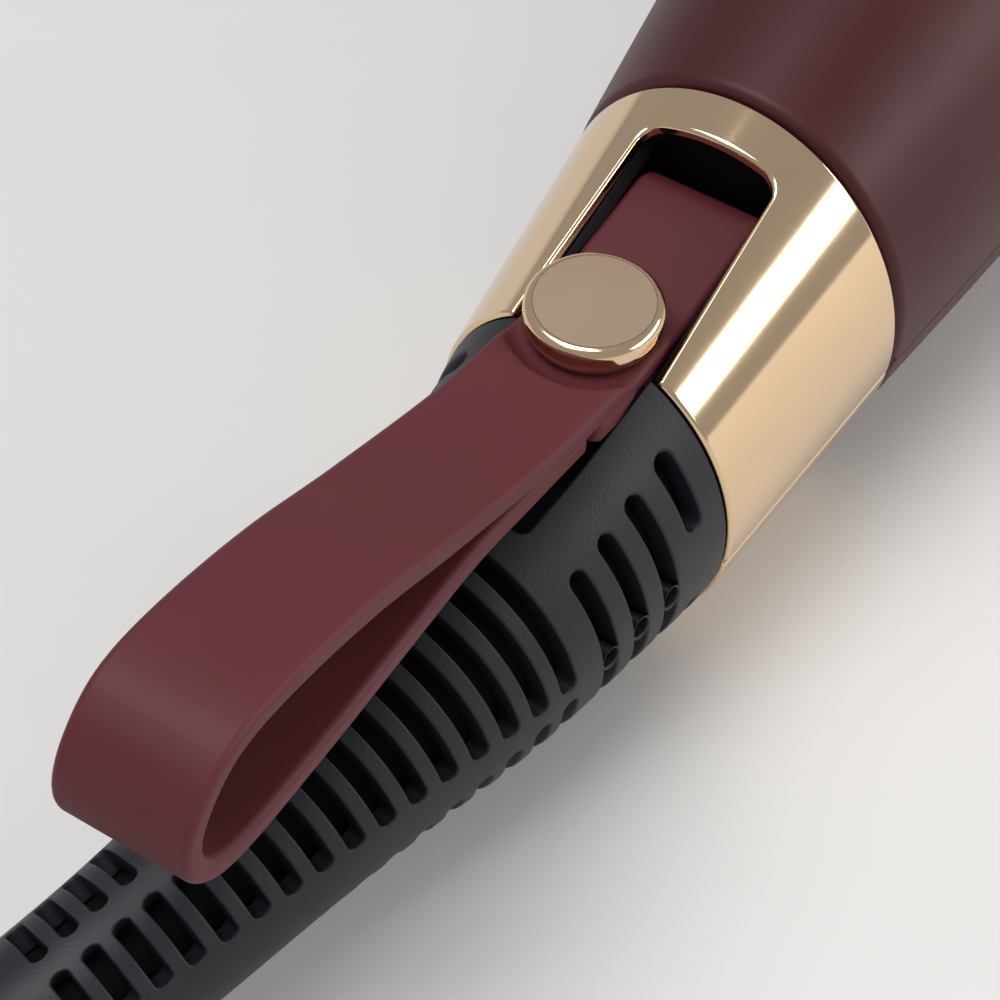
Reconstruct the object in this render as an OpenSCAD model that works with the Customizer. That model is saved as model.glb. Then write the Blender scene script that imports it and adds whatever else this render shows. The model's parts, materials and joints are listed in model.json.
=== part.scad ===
// Curling iron with an oval handle, a metal end collar, a hang strap and a
// slotted cord guard. Millimetres. The tool is drawn lying along +X: x = 0 is
// the rear rim of the end collar, +X points to the barrel tip and +Z is the
// strap side. place() then lays it on its folding stand.

/* [Resting pose] */
// Barrel-up angle when the tool lies on its stand, degrees
rest_tilt = 6; // [4:0.5:8]

/* [Handle shells] */
// Length from the collar's rear rim to the front of the handle
handle_len = 150; // [135:1:190]
// Greatest width of the oval handle
handle_w = 38.4; // [34:0.2:44]
// Greatest height of the oval handle
handle_h = 45.6; // [40:0.2:52]
// Distance of the widest section from the collar's rear rim
handle_max_at = 75; // [60:1:90]
// Diameter of the round front of the handle
handle_front_d = 35.2; // [34.6:0.1:40]
// Wall of the handle shells
shell_wall = 2; // [1.6:0.1:3]
// Height of the parting plane above the tool axis
part_z = -3.2; // [-5:0.1:0]

/* [End collar] */
// Length of the collar along the tool axis
collar_len = 21.3; // [18:0.1:26]
// Width of the collar at its rear rim
collar_rear_w = 25; // [24.8:0.1:30]
// Height of the collar at its rear rim
collar_rear_h = 31.8; // [31.6:0.1:36]
// Width of the collar at its front rim
collar_front_w = 29; // [27:0.1:34]
// Height of the collar at its front rim
collar_front_h = 36.2; // [34:0.1:42]
// Wall of the collar
collar_wall = 1; // [0.8:0.1:1.6]
// Lean of both rims, degrees from square
rim_lean = 4.6; // [0:0.1:8]
// Width of the strap notch at its closed end
notch_w = 11.2; // [10.8:0.1:13]
// Extra width of the notch at the rear rim
notch_flare = 1.1; // [0:0.1:2]
// Distance from the rear rim to the closed end of the notch
notch_len = 19; // [17.4:0.1:20]
// Corner radius of the notch
notch_r = 1.4; // [0.8:0.1:2.5]

/* [Hang strap] */
// Width of the strap
strap_w = 10.1; // [8:0.1:10.2]
// Thickness of one layer
strap_t = 1.9; // [1.4:0.1:2.1]
// Reach of the loop behind the collar's rear rim
strap_reach = 50; // [44:0.5:54]
// Height of the loop's crown above the tool axis
strap_crown_z = 33.2; // [30:0.1:38]
// Height of the loop's underside at its far end above the tool axis
strap_under_z = 21.2; // [19.5:0.1:23]
// Distance of the anchor pin from the collar's rear rim
anchor_x = 13; // [12:0.1:13.4]
// Height of the anchor pin above the tool axis
anchor_z = 9.1; // [8.8:0.1:9.6]
// Diameter of the anchor pin
anchor_d = 3; // [2.4:0.1:3.2]
// Diameter of the round button on the strap
button_d = 10; // [8:0.1:10]
// Thickness of the round button
button_t = 2.8; // [2:0.1:3.4]
// Distance of the button from the collar's rear rim
button_x = 2.3; // [1.6:0.1:3.2]

/* [Cord guard] */
// Width of the guard where it leaves the collar
guard_w = 24.4; // [22:0.1:24.4]
// Height of the guard where it leaves the collar
guard_h = 31.2; // [28:0.1:31.2]
// Diameter of the guard at its tail
guard_tail_d = 12; // [11:0.1:14]
// Length of the guard behind the collar, along its bend
guard_len = 66; // [62:0.5:76]
// Sideways bend of the guard over its whole length, degrees
guard_bend = 19.4; // [0:0.2:24]
// Wall of the guard
guard_wall = 1.9; // [1.5:0.1:2.2]
// Width of each slot
slot_w = 1.4; // [1:0.1:1.5]
// Spacing of the short slots on the sleeve
short_pitch = 3.05; // [2.8:0.05:3.3]
// Spacing of the long slots
long_pitch = 2.55; // [2.45:0.05:2.8]
// Number of long slots in a row
long_slots = 16; // [12:1:16]
// Width of the groove under the strap
groove_w = 8.2; // [6:0.1:9]
// Length of the groove under the strap
groove_len = 13; // [10:0.1:13.4]

/* [Barrel and clamp] */
// Outer diameter of the barrel
barrel_d = 32; // [25:0.5:33]
// Wall of the barrel tube
barrel_wall = 1.2; // [1:0.1:2]
// Visible length of the barrel
barrel_len = 150; // [120:1:170]
// Length of the heat shield between handle and barrel
shield_len = 20; // [18:0.5:26]
// Length of the cool tip
tip_len = 24; // [18:0.5:30]
// Thickness of the clamp blade
blade_t = 1; // [0.8:0.1:1.4]
// Arc of the clamp blade round the barrel, degrees
blade_arc = 96; // [80:2:120]
// Length of the clamp blade
blade_len = 132; // [100:1:140]
// Diameter of the hinge pins
hinge_d = 2.6; // [2:0.1:3]
// Height of the clamp hinge above the barrel's surface
hinge_rise = 5.2; // [5:0.1:7]
// Length of the thumb lever behind its hinge
lever_len = 46; // [38:1:52]
// Width of the thumb lever's arm
lever_w = 14; // [12:0.5:16]
// Angle at which the thumb lever stands off the handle, degrees
lever_rise = 21; // [18:0.5:26]

/* [Safety stand] */
// Width of the stand at its feet
stand_w = 32; // [26:1:40]
// Thickness of the stand plate
stand_t = 1.6; // [1.2:0.1:2]
// Backward lean of the stand plate from its hinge to its feet
stand_lean = 4; // [3:0.5:6]

/* [Controls] */
// Length of the control panel
panel_len = 44; // [40:1:50]
// Width of the control panel
panel_w = 12; // [11:0.1:13]
// Distance of the panel's middle from the collar's rear rim
panel_at = 90; // [84:1:96]
// Diameter of the power button
power_d = 7.4; // [6:0.1:8]
// Diameter of the two heat buttons
heat_d = 5.6; // [4.6:0.1:6.4]

/* [Cord entry] */
// Diameter of the supply cord that the guard and the clamp hold
cord_d = 6.6; // [6:0.1:7.4]

/* [Hidden] */

$fn = 48;
// Facets round the oval lofts
oval_fn = 40;
// Gap between parts that are assembled against each other
fit = 0.1;
// Radial clearance of a pin that turns in its bore
run_fit = 0.05;
// A cut runs past the face it opens by this much
cut = 1;

// ---- profile of the handle ----
function hermite(t, p0, p1, m0, m1) =
  (2*t^3 - 3*t^2 + 1)*p0 + (t^3 - 2*t^2 + t)*m0
  + (-2*t^3 + 3*t^2)*p1 + (t^3 - t^2)*m1;
// Half size of the handle at x, from its half size at the collar, at the
// widest section and at the front
flare = 0.13;
function half_size(x, at_collar, at_max, at_front) =
  x < handle_max_at
    ? hermite((x - collar_len)/(handle_max_at - collar_len), at_collar, at_max,
              flare*(handle_max_at - collar_len), 0)
    : hermite((x - handle_max_at)/(handle_len - handle_max_at), at_max, at_front, 0, 0);
function half_w(x) = half_size(x, collar_front_w/2, handle_w/2, handle_front_d/2);
function half_h(x) = half_size(x, collar_front_h/2, handle_h/2, handle_front_d/2);
// Sections of the handle loft, closer together where it swells
handle_steps = 9;
function handle_x(i) = collar_len - 3 + (handle_len - collar_len + 3)*i/handle_steps;
handle_rings = [for (i = [0:handle_steps]) [handle_x(i), half_w(handle_x(i)), half_h(handle_x(i))]];

// ---- resting pose and origin ----
// Height of the tool axis above the table at x = 0, set by the lowest ring
rest_h = max([for (r = handle_rings) r[2]*cos(rest_tilt) - r[0]*sin(rest_tilt)]);
tip_x = handle_len + shield_len + barrel_len + tip_len;

// ---- guard centreline: an arc in the horizontal plane, bending to +Y ----
bend_r = guard_bend > 0 ? guard_len*180/(PI*guard_bend) : 1e6;
function bend_at(u) = u > 0 ? u/bend_r*180/PI : 0;
function guard_x(u) = u > 0 ? -bend_r*sin(bend_at(u)) : -u;
function guard_y(u) = u > 0 ? bend_r*(1 - cos(bend_at(u))) : 0;

// Middle of the tool's length in its resting pose
tail_reach = -guard_x(guard_len)*cos(rest_tilt) + guard_tail_d/2*sin(bend_at(guard_len));
origin_x = (tip_x*cos(rest_tilt) - tail_reach)/2;

module place() {
  translate([-origin_x, 0, rest_h])
    rotate([0, -rest_tilt, 0])
      children();
}

// ---- helpers ----
// Solid through oval rings [x, half width, half height]
module loft(rings, fn = oval_fn) {
  n = len(rings);
  pts = [for (r = rings) for (k = [0:fn - 1]) [r[0], r[1]*sin(360*k/fn), r[2]*cos(360*k/fn)]];
  sides = [for (i = [0:n - 2]) for (k = [0:fn - 1])
    [i*fn + k, i*fn + (k + 1)%fn, (i + 1)*fn + (k + 1)%fn, (i + 1)*fn + k]];
  first = [for (k = [fn - 1:-1:0]) k];
  last = [for (k = [0:fn - 1]) (n - 1)*fn + k];
  polyhedron(points = pts, faces = concat([first], sides, [last]));
}

// Rings drawn in by d all round
function inset(rings, d) = [for (r = rings) [r[0], r[1] - d, r[2] - d]];

// Cylinder along +X from x0 to x1
module rod_x(x0, x1, d) {
  translate([x0, 0, 0])
    rotate([0, 90, 0])
      cylinder(d = d, h = x1 - x0);
}

// Cylinder along Y, centred
module rod_y(len, d) {
  rotate([90, 0, 0])
    cylinder(d = d, h = len, center = true);
}

// Everything in front of (or behind) the leaning plane through x on the axis
module ahead_of(x) {
  translate([x, 0, 0])
    rotate([0, rim_lean, 0])
      translate([0, -60, -60])
        cube([400, 120, 120]);
}
module behind(x) {
  translate([x, 0, 0])
    rotate([0, rim_lean, 0])
      translate([-400, -60, -60])
        cube([400, 120, 120]);
}

module above_parting() {
  translate([-60, -60, part_z])
    cube([400, 120, 120]);
}
module below_parting() {
  translate([-60, -60, part_z - 120])
    cube([400, 120, 120]);
}

// Rounded rectangle plate lying in XY, corner radius r
module plate(length, width, r, z0, z1) {
  translate([0, 0, z0])
    linear_extrude(z1 - z0)
      plate_2d(length, width, r);
}
module plate_2d(length, width, r) {
  square([length - 2*r, width], center = true);
  square([length, width - 2*r], center = true);
  for (sx = [-1, 1])
    for (sy = [-1, 1])
      translate([sx*(length/2 - r), sy*(width/2 - r)])
        circle(r, $fn = 24);
}

// Curve through the points p, n steps to a segment
function curve_at(a, b, c, d, t) =
  (2*b + (c - a)*t + (2*a - 5*b + 4*c - d)*t^2 + (3*b - a - 3*c + d)*t^3)/2;
function curve(p, n) = concat(
  [for (i = [0:len(p) - 2]) for (k = [0:n - 1])
    curve_at(p[max(i - 1, 0)], p[i], p[i + 1], p[min(i + 2, len(p) - 1)], k/n)],
  [p[len(p) - 1]]);
function unit(v) = v/norm(v);
function heading(p, i) = unit(p[min(i + 1, len(p) - 1)] - p[max(i - 1, 0)]);

// Round tube of diameter d along the points p
module tube(p, d, fn = 10) {
  n = len(p);
  pts = [for (i = [0:n - 1])
    let (t = heading(p, i), side = unit(cross([0, 0, 1], t)), up = cross(t, side))
    for (k = [0:fn - 1]) p[i] + d/2*(cos(360*k/fn)*side + sin(360*k/fn)*up)];
  sides = [for (i = [0:n - 2]) for (k = [0:fn - 1])
    [i*fn + k, (i + 1)*fn + k, (i + 1)*fn + (k + 1)%fn, i*fn + (k + 1)%fn]];
  first = [for (k = [0:fn - 1]) k];
  last = [for (k = [fn - 1:-1:0]) (n - 1)*fn + k];
  polyhedron(points = pts, faces = concat([first], sides, [last]));
}

// ---- handle shells ----
seam_gap = 0.3;
spigot_len = 3.2;
insert_end = collar_len - spigot_len;
// Two posts on the centre line hold the shells together
post_x = [collar_len + 26.7, handle_len - 22];
screw_head_z = -13;
screw_end_z = 8;

module handle_shell() {
  difference() {
    intersection() {
      loft(handle_rings);
      ahead_of(collar_len + seam_gap);
    }
    loft(concat(inset(handle_rings, shell_wall),
                [[handle_len + cut, handle_front_d/2 - shell_wall, handle_front_d/2 - shell_wall]]));
  }
  difference() {
    intersection() {
      loft(inset(collar_rings, collar_wall + fit));
      ahead_of(insert_end + fit);
      behind(collar_len + 2);
    }
    loft(inset(collar_loft(-6, collar_len + 6), collar_wall + fit + 1.8));
  }
}

module inside_handle() {
  intersection() {
    loft(inset(handle_rings, shell_wall - 0.2));
    children();
  }
}

module handle_upper_shell() {
  color("#6b1f33")
    difference() {
      union() {
        intersection() {
          handle_shell();
          above_parting();
        }
        inside_handle()
          for (x = post_x)
            translate([x, 0, part_z])
              cylinder(d = 6.4, h = 40);
      }
      for (x = post_x)
        translate([x, 0, part_z - cut])
          cylinder(d = 2.6, h = screw_end_z + 0.4 - part_z + cut);
      on_panel()
        plate(panel_len + 2*fit, panel_w + 2*fit, 3, -8, 6);
    }
}

module handle_lower_shell() {
  color("#6b1f33")
    difference() {
      union() {
        intersection() {
          handle_shell();
          translate([0, 0, -fit])
            below_parting();
        }
        inside_handle() {
          for (x = post_x)
            translate([x, 0, -40])
              cylinder(d = 9, h = 40 + part_z - fit);
          translate([clamp_x, -10, -40])
            cube([6, 20, 40 - fit]);
        }
      }
      for (x = post_x) {
        translate([x, 0, -60])
          cylinder(d = 5.8, h = 60 + screw_head_z);
        translate([x, 0, -60])
          cylinder(d = 3, h = 60);
      }
      rod_x(clamp_x - cut, clamp_x + 6 + cut, cord_d + 0.1);
      for (y = [-7, 7])
        translate([clamp_x + 3, y, -9])
          cylinder(d = 2.4, h = 10);
    }
}

module shell_screws() {
  color("#8d8f94")
    for (x = post_x)
      translate([x, 0, 0]) {
        translate([0, 0, screw_head_z - 2])
          cylinder(d = 5.2, h = 2);
        translate([0, 0, screw_head_z - 0.5])
          cylinder(d = 2.6, h = screw_end_z + 0.5 - screw_head_z);
      }
}

// ---- end collar and its insert ----
function collar_size(x, rear, front) = (rear + (front - rear)*x/collar_len)/2;
function collar_loft(x0, x1) = [for (x = [x0, x1])
  [x, collar_size(x, collar_rear_w, collar_front_w), collar_size(x, collar_rear_h, collar_front_h)]];
collar_rings = collar_loft(-4, collar_len + 4);

// Outline of the strap notch, seen from above
module strap_notch() {
  half = notch_w/2;
  translate([0, 0, 2])
    linear_extrude(30) {
      polygon([[-4, -half - notch_flare/2], [notch_len - notch_r, -half],
               [notch_len - notch_r, half], [-4, half + notch_flare/2]]);
      translate([notch_len - 2*notch_r, -half + notch_r])
        square([2*notch_r, 2*half - 2*notch_r]);
      for (s = [-1, 1])
        translate([notch_len - notch_r, s*(half - notch_r)])
          circle(notch_r, $fn = 24);
    }
}

module collar_shell() {
  difference() {
    intersection() {
      loft(collar_rings);
      ahead_of(0);
      behind(collar_len);
    }
    loft(inset(collar_loft(-6, collar_len + 6), collar_wall));
    strap_notch();
  }
}

module end_collar_upper() {
  color("#d9bfa0")
    intersection() {
      collar_shell();
      above_parting();
    }
}

module end_collar_lower() {
  color("#d9bfa0")
    intersection() {
      collar_shell();
      translate([0, 0, -fit])
        below_parting();
    }
}

// The strap's eye turns in a pocket of the insert
eye_r = anchor_d/2 + run_fit + strap_t;
pocket_w = strap_w + 0.6;
flange_len = 3.2;
// Underside of the strap's tab at x
tab_slope = 0.44;
function tab_z(x) = anchor_z - eye_r + (anchor_x - x)*tab_slope;

module collar_insert() {
  color("#2b2c30")
    difference() {
      intersection() {
        loft(inset(collar_rings, collar_wall + fit));
        ahead_of(flange_len + fit);
        behind(insert_end);
      }
      translate([0, pocket_w/2, 0])
        rotate([90, 0, 0])
          linear_extrude(pocket_w) {
            translate([anchor_x, anchor_z])
              circle(eye_r + 0.3);
            polygon([[anchor_x, anchor_z - eye_r - 0.3], [-4, tab_z(-4) - 0.3], [-4, 40],
                     [anchor_x + eye_r + 0.3, 40], [anchor_x + eye_r + 0.3, anchor_z]]);
          }
      translate([anchor_x, 0, anchor_z])
        rod_y(60, anchor_d);
      rod_x(-5, 30, cord_d + 0.6);
    }
}

module strap_anchor_pin() {
  color("#a9abb0")
    translate([anchor_x, 0, anchor_z])
      rod_y(19, anchor_d);
}

// ---- hang strap ----
// Middle line of the moulded band, from the eye over the loop and back
tip_r = strap_t/2;
band_points = [
  [anchor_x, anchor_z + eye_r - tip_r],
  [5, 12.9], [-2, 15.35], [-10, 18.1],
  [-0.43*strap_reach, 23.7], [-0.6*strap_reach, 28.2],
  [-0.76*strap_reach, strap_crown_z - 1.9], [-0.87*strap_reach, strap_crown_z - tip_r],
  [-strap_reach + 2.8, strap_crown_z - 2.7], [-strap_reach + tip_r, strap_crown_z - 5.6],
  [-strap_reach + 1.7, strap_under_z + 3.4], [-0.9*strap_reach, strap_under_z + 1.4],
  [-0.72*strap_reach, strap_under_z], [-0.56*strap_reach, strap_under_z - 0.8],
  [-20, 19.5], [-13, 17.5], [-6.4, 15.5]
];
band = curve(band_points, 4);
function band_side(s, i) = let (t = heading(band, i)) band[i] + s*tip_r*[-t[1], t[0]];
module band_part(i0, i1) {
  polygon(concat([for (i = [i0:i1]) band_side(1, i)], [for (i = [i1:-1:i0]) band_side(-1, i)]));
}

// Seat of the round button, leaning a little towards the collar
module on_button() {
  translate([button_x, 0, anchor_z + 5.7])
    rotate([0, 7.4, 0])
      children();
}

module strap_outline() {
  // the two layers meet and are bonded in front of the loop
  band_part(0, 40);
  band_part(40, len(band) - 1);
  polygon([[anchor_x, anchor_z - eye_r], [-4.5, tab_z(-4.5)], [-4.5, 16.5], [5, 12.9],
           [anchor_x, anchor_z + eye_r - tip_r]]);
  translate([-4.4, tab_z(-4.4) + 0.98])
    circle(0.98, $fn = 24);
  polygon([[-7, 15.9], [-7, 16.9], [-13, 19.1], [-19, 21.6], [-19.6, 20.4], [-13, 17.6]]);
  translate([anchor_x, anchor_z])
    circle(eye_r);
}

module hang_strap() {
  color("#7c3b46")
    difference() {
      union() {
        translate([0, strap_w/2, 0])
          rotate([90, 0, 0])
            linear_extrude(strap_w)
              strap_outline();
        on_button()
          translate([0, 0, -2.4])
            cylinder(d = button_d - 1.4, h = 2.4);
      }
      on_button() {
        cylinder(d = button_d + 0.6, h = 6);
        translate([0, 0, -9])
          cylinder(d = 3, h = 10);
        translate([0, 0, -9])
          cylinder(d = 5.4, h = 5.7);
      }
      translate([anchor_x, 0, anchor_z])
        rod_y(20, anchor_d + 2*run_fit);
    }
}

module strap_button() {
  color("#e3cba8")
    on_button()
      difference() {
        rotate_extrude()
          polygon([[0, 0], [button_d/2 - 0.5, 0], [button_d/2 - 0.15, 0.3], [button_d/2, 1.2],
                   [button_d/2 - 0.1, button_t - 0.7], [button_d/2 - 0.4, button_t - 0.25],
                   [button_d/2 - 0.9, button_t], [0, button_t]]);
        translate([0, 0, -1])
          cylinder(d = 2.2, h = 2.6);
      }
}

module strap_stud() {
  color("#a9abb0")
    on_button() {
      translate([0, 0, -3.3])
        cylinder(d = 3, h = 3.3);
      translate([0, 0, -0.1])
        cylinder(d = 2.2, h = 1.6);
      translate([0, 0, -4])
        cylinder(d = 5.2, h = 0.7);
    }
}

// ---- cord guard ----
// Share of the guard's taper left at u
function taper(u) = lookup(u/guard_len,
  [[-0.1, 1.03], [0, 1], [0.14, 0.79], [0.28, 0.58], [0.42, 0.32],
   [0.56, 0.145], [0.71, 0.065], [0.85, 0.03], [1, 0]]);
function guard_half(u, w) = guard_tail_d/2 + (w - guard_tail_d)/2*taper(u);
sleeve_end = 14;

module at_guard(u) {
  translate([guard_x(u), guard_y(u), 0])
    rotate([0, 0, -bend_at(u)])
      children();
}

// Bent oval solid along the guard, drawn in by d all round
module guard_loft(us, d, fn = oval_fn) {
  n = len(us);
  pts = [for (u = us)
    let (b = bend_at(u), w = guard_half(u, guard_w) - d, h = guard_half(u, guard_h) - d)
    for (k = [0:fn - 1])
      [guard_x(u) + sin(b)*w*sin(360*k/fn), guard_y(u) + cos(b)*w*sin(360*k/fn), h*cos(360*k/fn)]];
  sides = [for (i = [0:n - 2]) for (k = [0:fn - 1])
    [i*fn + k, (i + 1)*fn + k, (i + 1)*fn + (k + 1)%fn, i*fn + (k + 1)%fn]];
  first = [for (k = [0:fn - 1]) k];
  last = [for (k = [fn - 1:-1:0]) (n - 1)*fn + k];
  polyhedron(points = pts, faces = concat([first], sides, [last]));
}

// Wedge across the guard from azimuth a0 to a1, measured from the strap side
function wedge(a0, a1) = concat([[0, 0]],
  [for (k = [0:4]) let (a = a0 + (a1 - a0)*k/4) 24*[sin(a), cos(a)]]);

// The same slot on both flanks, above and below
module slot_row(u, a0, a1) {
  at_guard(u)
    rotate([90, 0, 90])
      translate([0, 0, -slot_w/2])
        linear_extrude(slot_w)
          for (a = [0, 180])
            for (s = [-1, 1])
              polygon(a == 0 ? wedge(s*a0, s*a1) : wedge(180 - s*a0, 180 - s*a1));
}

module slot_ends(u, a) {
  at_guard(u)
    for (s = [-1, 1])
      for (b = [a, 180 - a])
        rotate([-s*b, 0, 0])
          cylinder(d = slot_w, h = 24, $fn = 16);
}

function short_u(i) = 2.9 + i*short_pitch;
function long_u(i) = 2.9 + 4*short_pitch + 0.9 + i*long_pitch;

module cord_guard() {
  color("#26272b")
    difference() {
      union() {
        difference() {
          union() {
            intersection() {
              guard_loft([for (i = [0:11]) -2.4 + i*(guard_len + 2.4)/11], 0);
              behind(-fit);
            }
            intersection() {
              loft(inset(collar_rings, collar_wall + fit));
              ahead_of(-2);
              behind(flange_len);
            }
          }
          guard_loft([-6, 0, 9, 18, 28, 38, guard_len - 10], guard_wall, 32);
          at_guard(guard_len - 5)
            rod_x(-20, 20, cord_d + 0.3);
        }
        // floor and walls of the strap's groove
        intersection() {
          union() {
            intersection() {
              guard_loft([-2.4, 4, 9, sleeve_end + 2], 0.2);
              behind(-fit);
            }
            intersection() {
              loft(inset(collar_rings, collar_wall + 2*fit));
              ahead_of(-1);
              behind(flange_len - fit);
            }
          }
          translate([0, 7, 0])
            rotate([90, 0, 0])
              linear_extrude(14)
                polygon([[2.4, tab_z(3) - 1.8], [2.4, 14], [-sleeve_end - 1, 14],
                         [-sleeve_end - 1, 9.2], [0, 9.2]]);
        }
      }
      // groove that the strap drops into
      intersection() {
        translate([0, 10, 0])
          rotate([90, 0, 0])
            linear_extrude(20)
              polygon([[5, tab_z(5) - 0.4], [0, 10.8], [-groove_len - cut, 10.8],
                       [-groove_len - cut, 30], [5, 30]]);
        linear_extrude(40) {
          polygon([[5, -pocket_w/2 - 0.1], [5, pocket_w/2 + 0.1], [0, pocket_w/2 + 0.1],
                   [1 - groove_len, groove_w/2], [1 - groove_len, -groove_w/2],
                   [0, -pocket_w/2 - 0.1]]);
          translate([-groove_len, -groove_w/2 + 1])
            square([2, groove_w - 2]);
          for (s = [-1, 1])
            translate([1 - groove_len, s*(groove_w/2 - 1)])
              circle(1, $fn = 16);
        }
      }
      for (i = [0:3]) {
        slot_row(short_u(i), 37 + 1.5*i, i == 0 ? 67 : 94);
        slot_ends(short_u(i), 37 + 1.5*i);
        if (i == 0)
          slot_ends(short_u(i), 67);
      }
      for (i = [0:long_slots - 1])
        slot_row(long_u(i), 8, min(84, 100 - 0.94*long_u(i)));
    }
}

// ---- cord clamp in the handle ----
clamp_x = 27;

module cord_clamp() {
  color("#3a3b40")
    difference() {
      translate([clamp_x, -10, fit])
        cube([6, 20, 6]);
      rod_x(clamp_x - cut, clamp_x + 6 + cut, cord_d + 0.1);
      for (y = [-7, 7])
        translate([clamp_x + 3, y, -1])
          cylinder(d = 2.4, h = 10);
    }
}

// Block in the clamp where the cord's wires meet the leads
module cord_terminal() {
  color("#e9e4d6")
    difference() {
      rod_x(clamp_x - 3, clamp_x + 10, cord_d);
      for (s = [-1, 1])
        translate([0, s*1.6, 0])
          rod_x(clamp_x - 4, clamp_x + 4, 1.8);
    }
}

module cord_clamp_screws() {
  color("#8d8f94")
    for (y = [-7, 7])
      translate([clamp_x + 3, y, 0]) {
        translate([0, 0, 6 + fit])
          cylinder(d = 4.4, h = 1.8);
        translate([0, 0, -8.8])
          cylinder(d = 2.4, h = 15.4);
      }
}

// ---- heat shield, barrel and tip ----
shield_x = handle_len + 0.2;
barrel_x = handle_len + 3.6;
barrel_end = handle_len + shield_len + barrel_len;
shield_r = handle_front_d/2;
hinge_x = handle_len + 14.5;
hinge_z = barrel_d/2 + hinge_rise;
stand_x = handle_len + 9;
stand_z = -shield_r - 2.6;
ear_t = 2.6;
neck_w = 18;

module heat_shield() {
  color("#2b2c30")
    difference() {
      union() {
        translate([shield_x, 0, 0])
          rotate([0, 90, 0])
            rotate_extrude()
              polygon([[9, -8], [shield_r - shell_wall - 0.2, -8],
                       [shield_r - shell_wall - 0.2, -0.1], [shield_r - 0.3, 0],
                       [shield_r, 0.3], [shield_r, shield_len - 1.2],
                       [shield_r - 0.6, shield_len - 0.2],
                       [barrel_d/2 + 0.1, shield_len - 0.2], [barrel_d/2 + 0.1, 3.3],
                       [9, 3.3]]);
        // ears for the clamp
        for (s = [-1, 1])
          translate([hinge_x, s*(lever_w/2 + 0.4 + ear_t/2), 0]) {
            translate([0, 0, hinge_z])
              rod_y(ear_t, 2*(hinge_d/2 + 1.7));
            translate([-3, -ear_t/2, barrel_d/2 - 1.5])
              cube([6, ear_t, hinge_z - barrel_d/2 + 1.5]);
          }
        // ears for the stand
        for (s = [-1, 1])
          translate([stand_x, s*(neck_w/2 + 0.4 + ear_t/2), 0]) {
            translate([0, 0, stand_z])
              rod_y(ear_t, 5);
            translate([-2.5, -ear_t/2, stand_z])
              cube([5, ear_t, -stand_z - barrel_d/2 + 1.5]);
          }
      }
      rod_x(barrel_x - 0.1, barrel_x + 60, barrel_d + 0.2);
      translate([hinge_x, 0, hinge_z])
        rod_y(60, hinge_d);
      translate([stand_x, 0, stand_z])
        rod_y(60, hinge_d);
    }
}

module barrel() {
  color("#c9ccd1")
    difference() {
      rod_x(barrel_x, barrel_end, barrel_d);
      rod_x(barrel_x - cut, barrel_end + cut, barrel_d - 2*barrel_wall);
    }
}

module cool_tip() {
  r = barrel_d/2;
  color("#2b2c30")
    translate([barrel_end + fit, 0, 0])
      rotate([0, 90, 0])
        rotate_extrude()
          polygon([[0, -8], [r - barrel_wall - 0.1, -8], [r - barrel_wall - 0.1, 0], [r, 0],
                   [r, 0.6*tip_len], [r - 0.5, 0.76*tip_len], [r - 2, 0.9*tip_len],
                   [r - 4, tip_len - 0.6], [r - 6, tip_len], [0, tip_len]]);
}

// ---- heater ----
heater_x = handle_len + shield_len + 14;
heater_len = barrel_len - 46;
plate_w = 20;
plate_h = 3;

module heater_half(s) {
  difference() {
    rod_x(heater_x, heater_x + heater_len, barrel_d - 2*barrel_wall - 0.2);
    translate([heater_x - cut, -40, s > 0 ? -60 : -plate_h/2 - 0.1])
      cube([heater_len + 2*cut, 80, 60 + plate_h/2 + 0.1]);
  }
}

module heater_block_upper() {
  color("#b9bcc2")
    difference() {
      heater_half(1);
      translate([heater_x - cut, -3, 6])
        cube([24 + cut, 6, 20]);
    }
}

module heater_block_lower() {
  color("#b9bcc2")
    heater_half(-1);
}

module heater_plate() {
  color("#d8d2c4")
    translate([heater_x + 8, -plate_w/2, -plate_h/2 + 0.3])
      cube([heater_len - 20, plate_w, plate_h - 0.6]);
}

module heater_insulation() {
  color("#c78a3a")
    difference() {
      translate([heater_x + 4, -plate_w/2 - 0.5, -plate_h/2])
        cube([heater_len - 12, plate_w + 1, plate_h]);
      translate([heater_x + 4 - cut, -plate_w/2, -plate_h/2 + 0.3])
        cube([heater_len - 16 + cut, plate_w, plate_h - 0.6]);
    }
}

module thermal_sensor() {
  color("#e9e4d6")
    translate([heater_x + 2, 0, 8.1]) {
      rod_x(0, 18, 4);
      translate([2, -1.5, -2.1])
        cube([12, 3, 1]);
    }
}

module heater_leads() {
  color("#c0503c") {
    for (s = [-1, 1])
      tube(curve([[board_x1 - 1, s*4, wire_z], [board_x1 + 8, s*5, wire_z - 3], [handle_len - 10, s*5, 3],
                  [handle_len + 6, s*4.2, 0.6], [heater_x - 6, s*4, 0], [heater_x + 8, s*4, 0]], 3), 1.8, 6);
    // the sensor's lead
    tube(curve([[board_x1 - 1, 0, wire_z], [board_x1 + 7, 4.6, wire_z - 1], [handle_len - 10, 5, 7],
                [handle_len + 6, 2, 7.6], [heater_x - 6, 0, 8.1], [heater_x + 2, 0, 8.1]], 3), 1.4, 6);
  }
}

// ---- clamp ----
blade_r = barrel_d/2 + 0.4;
blade_x = hinge_x + 13;

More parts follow.
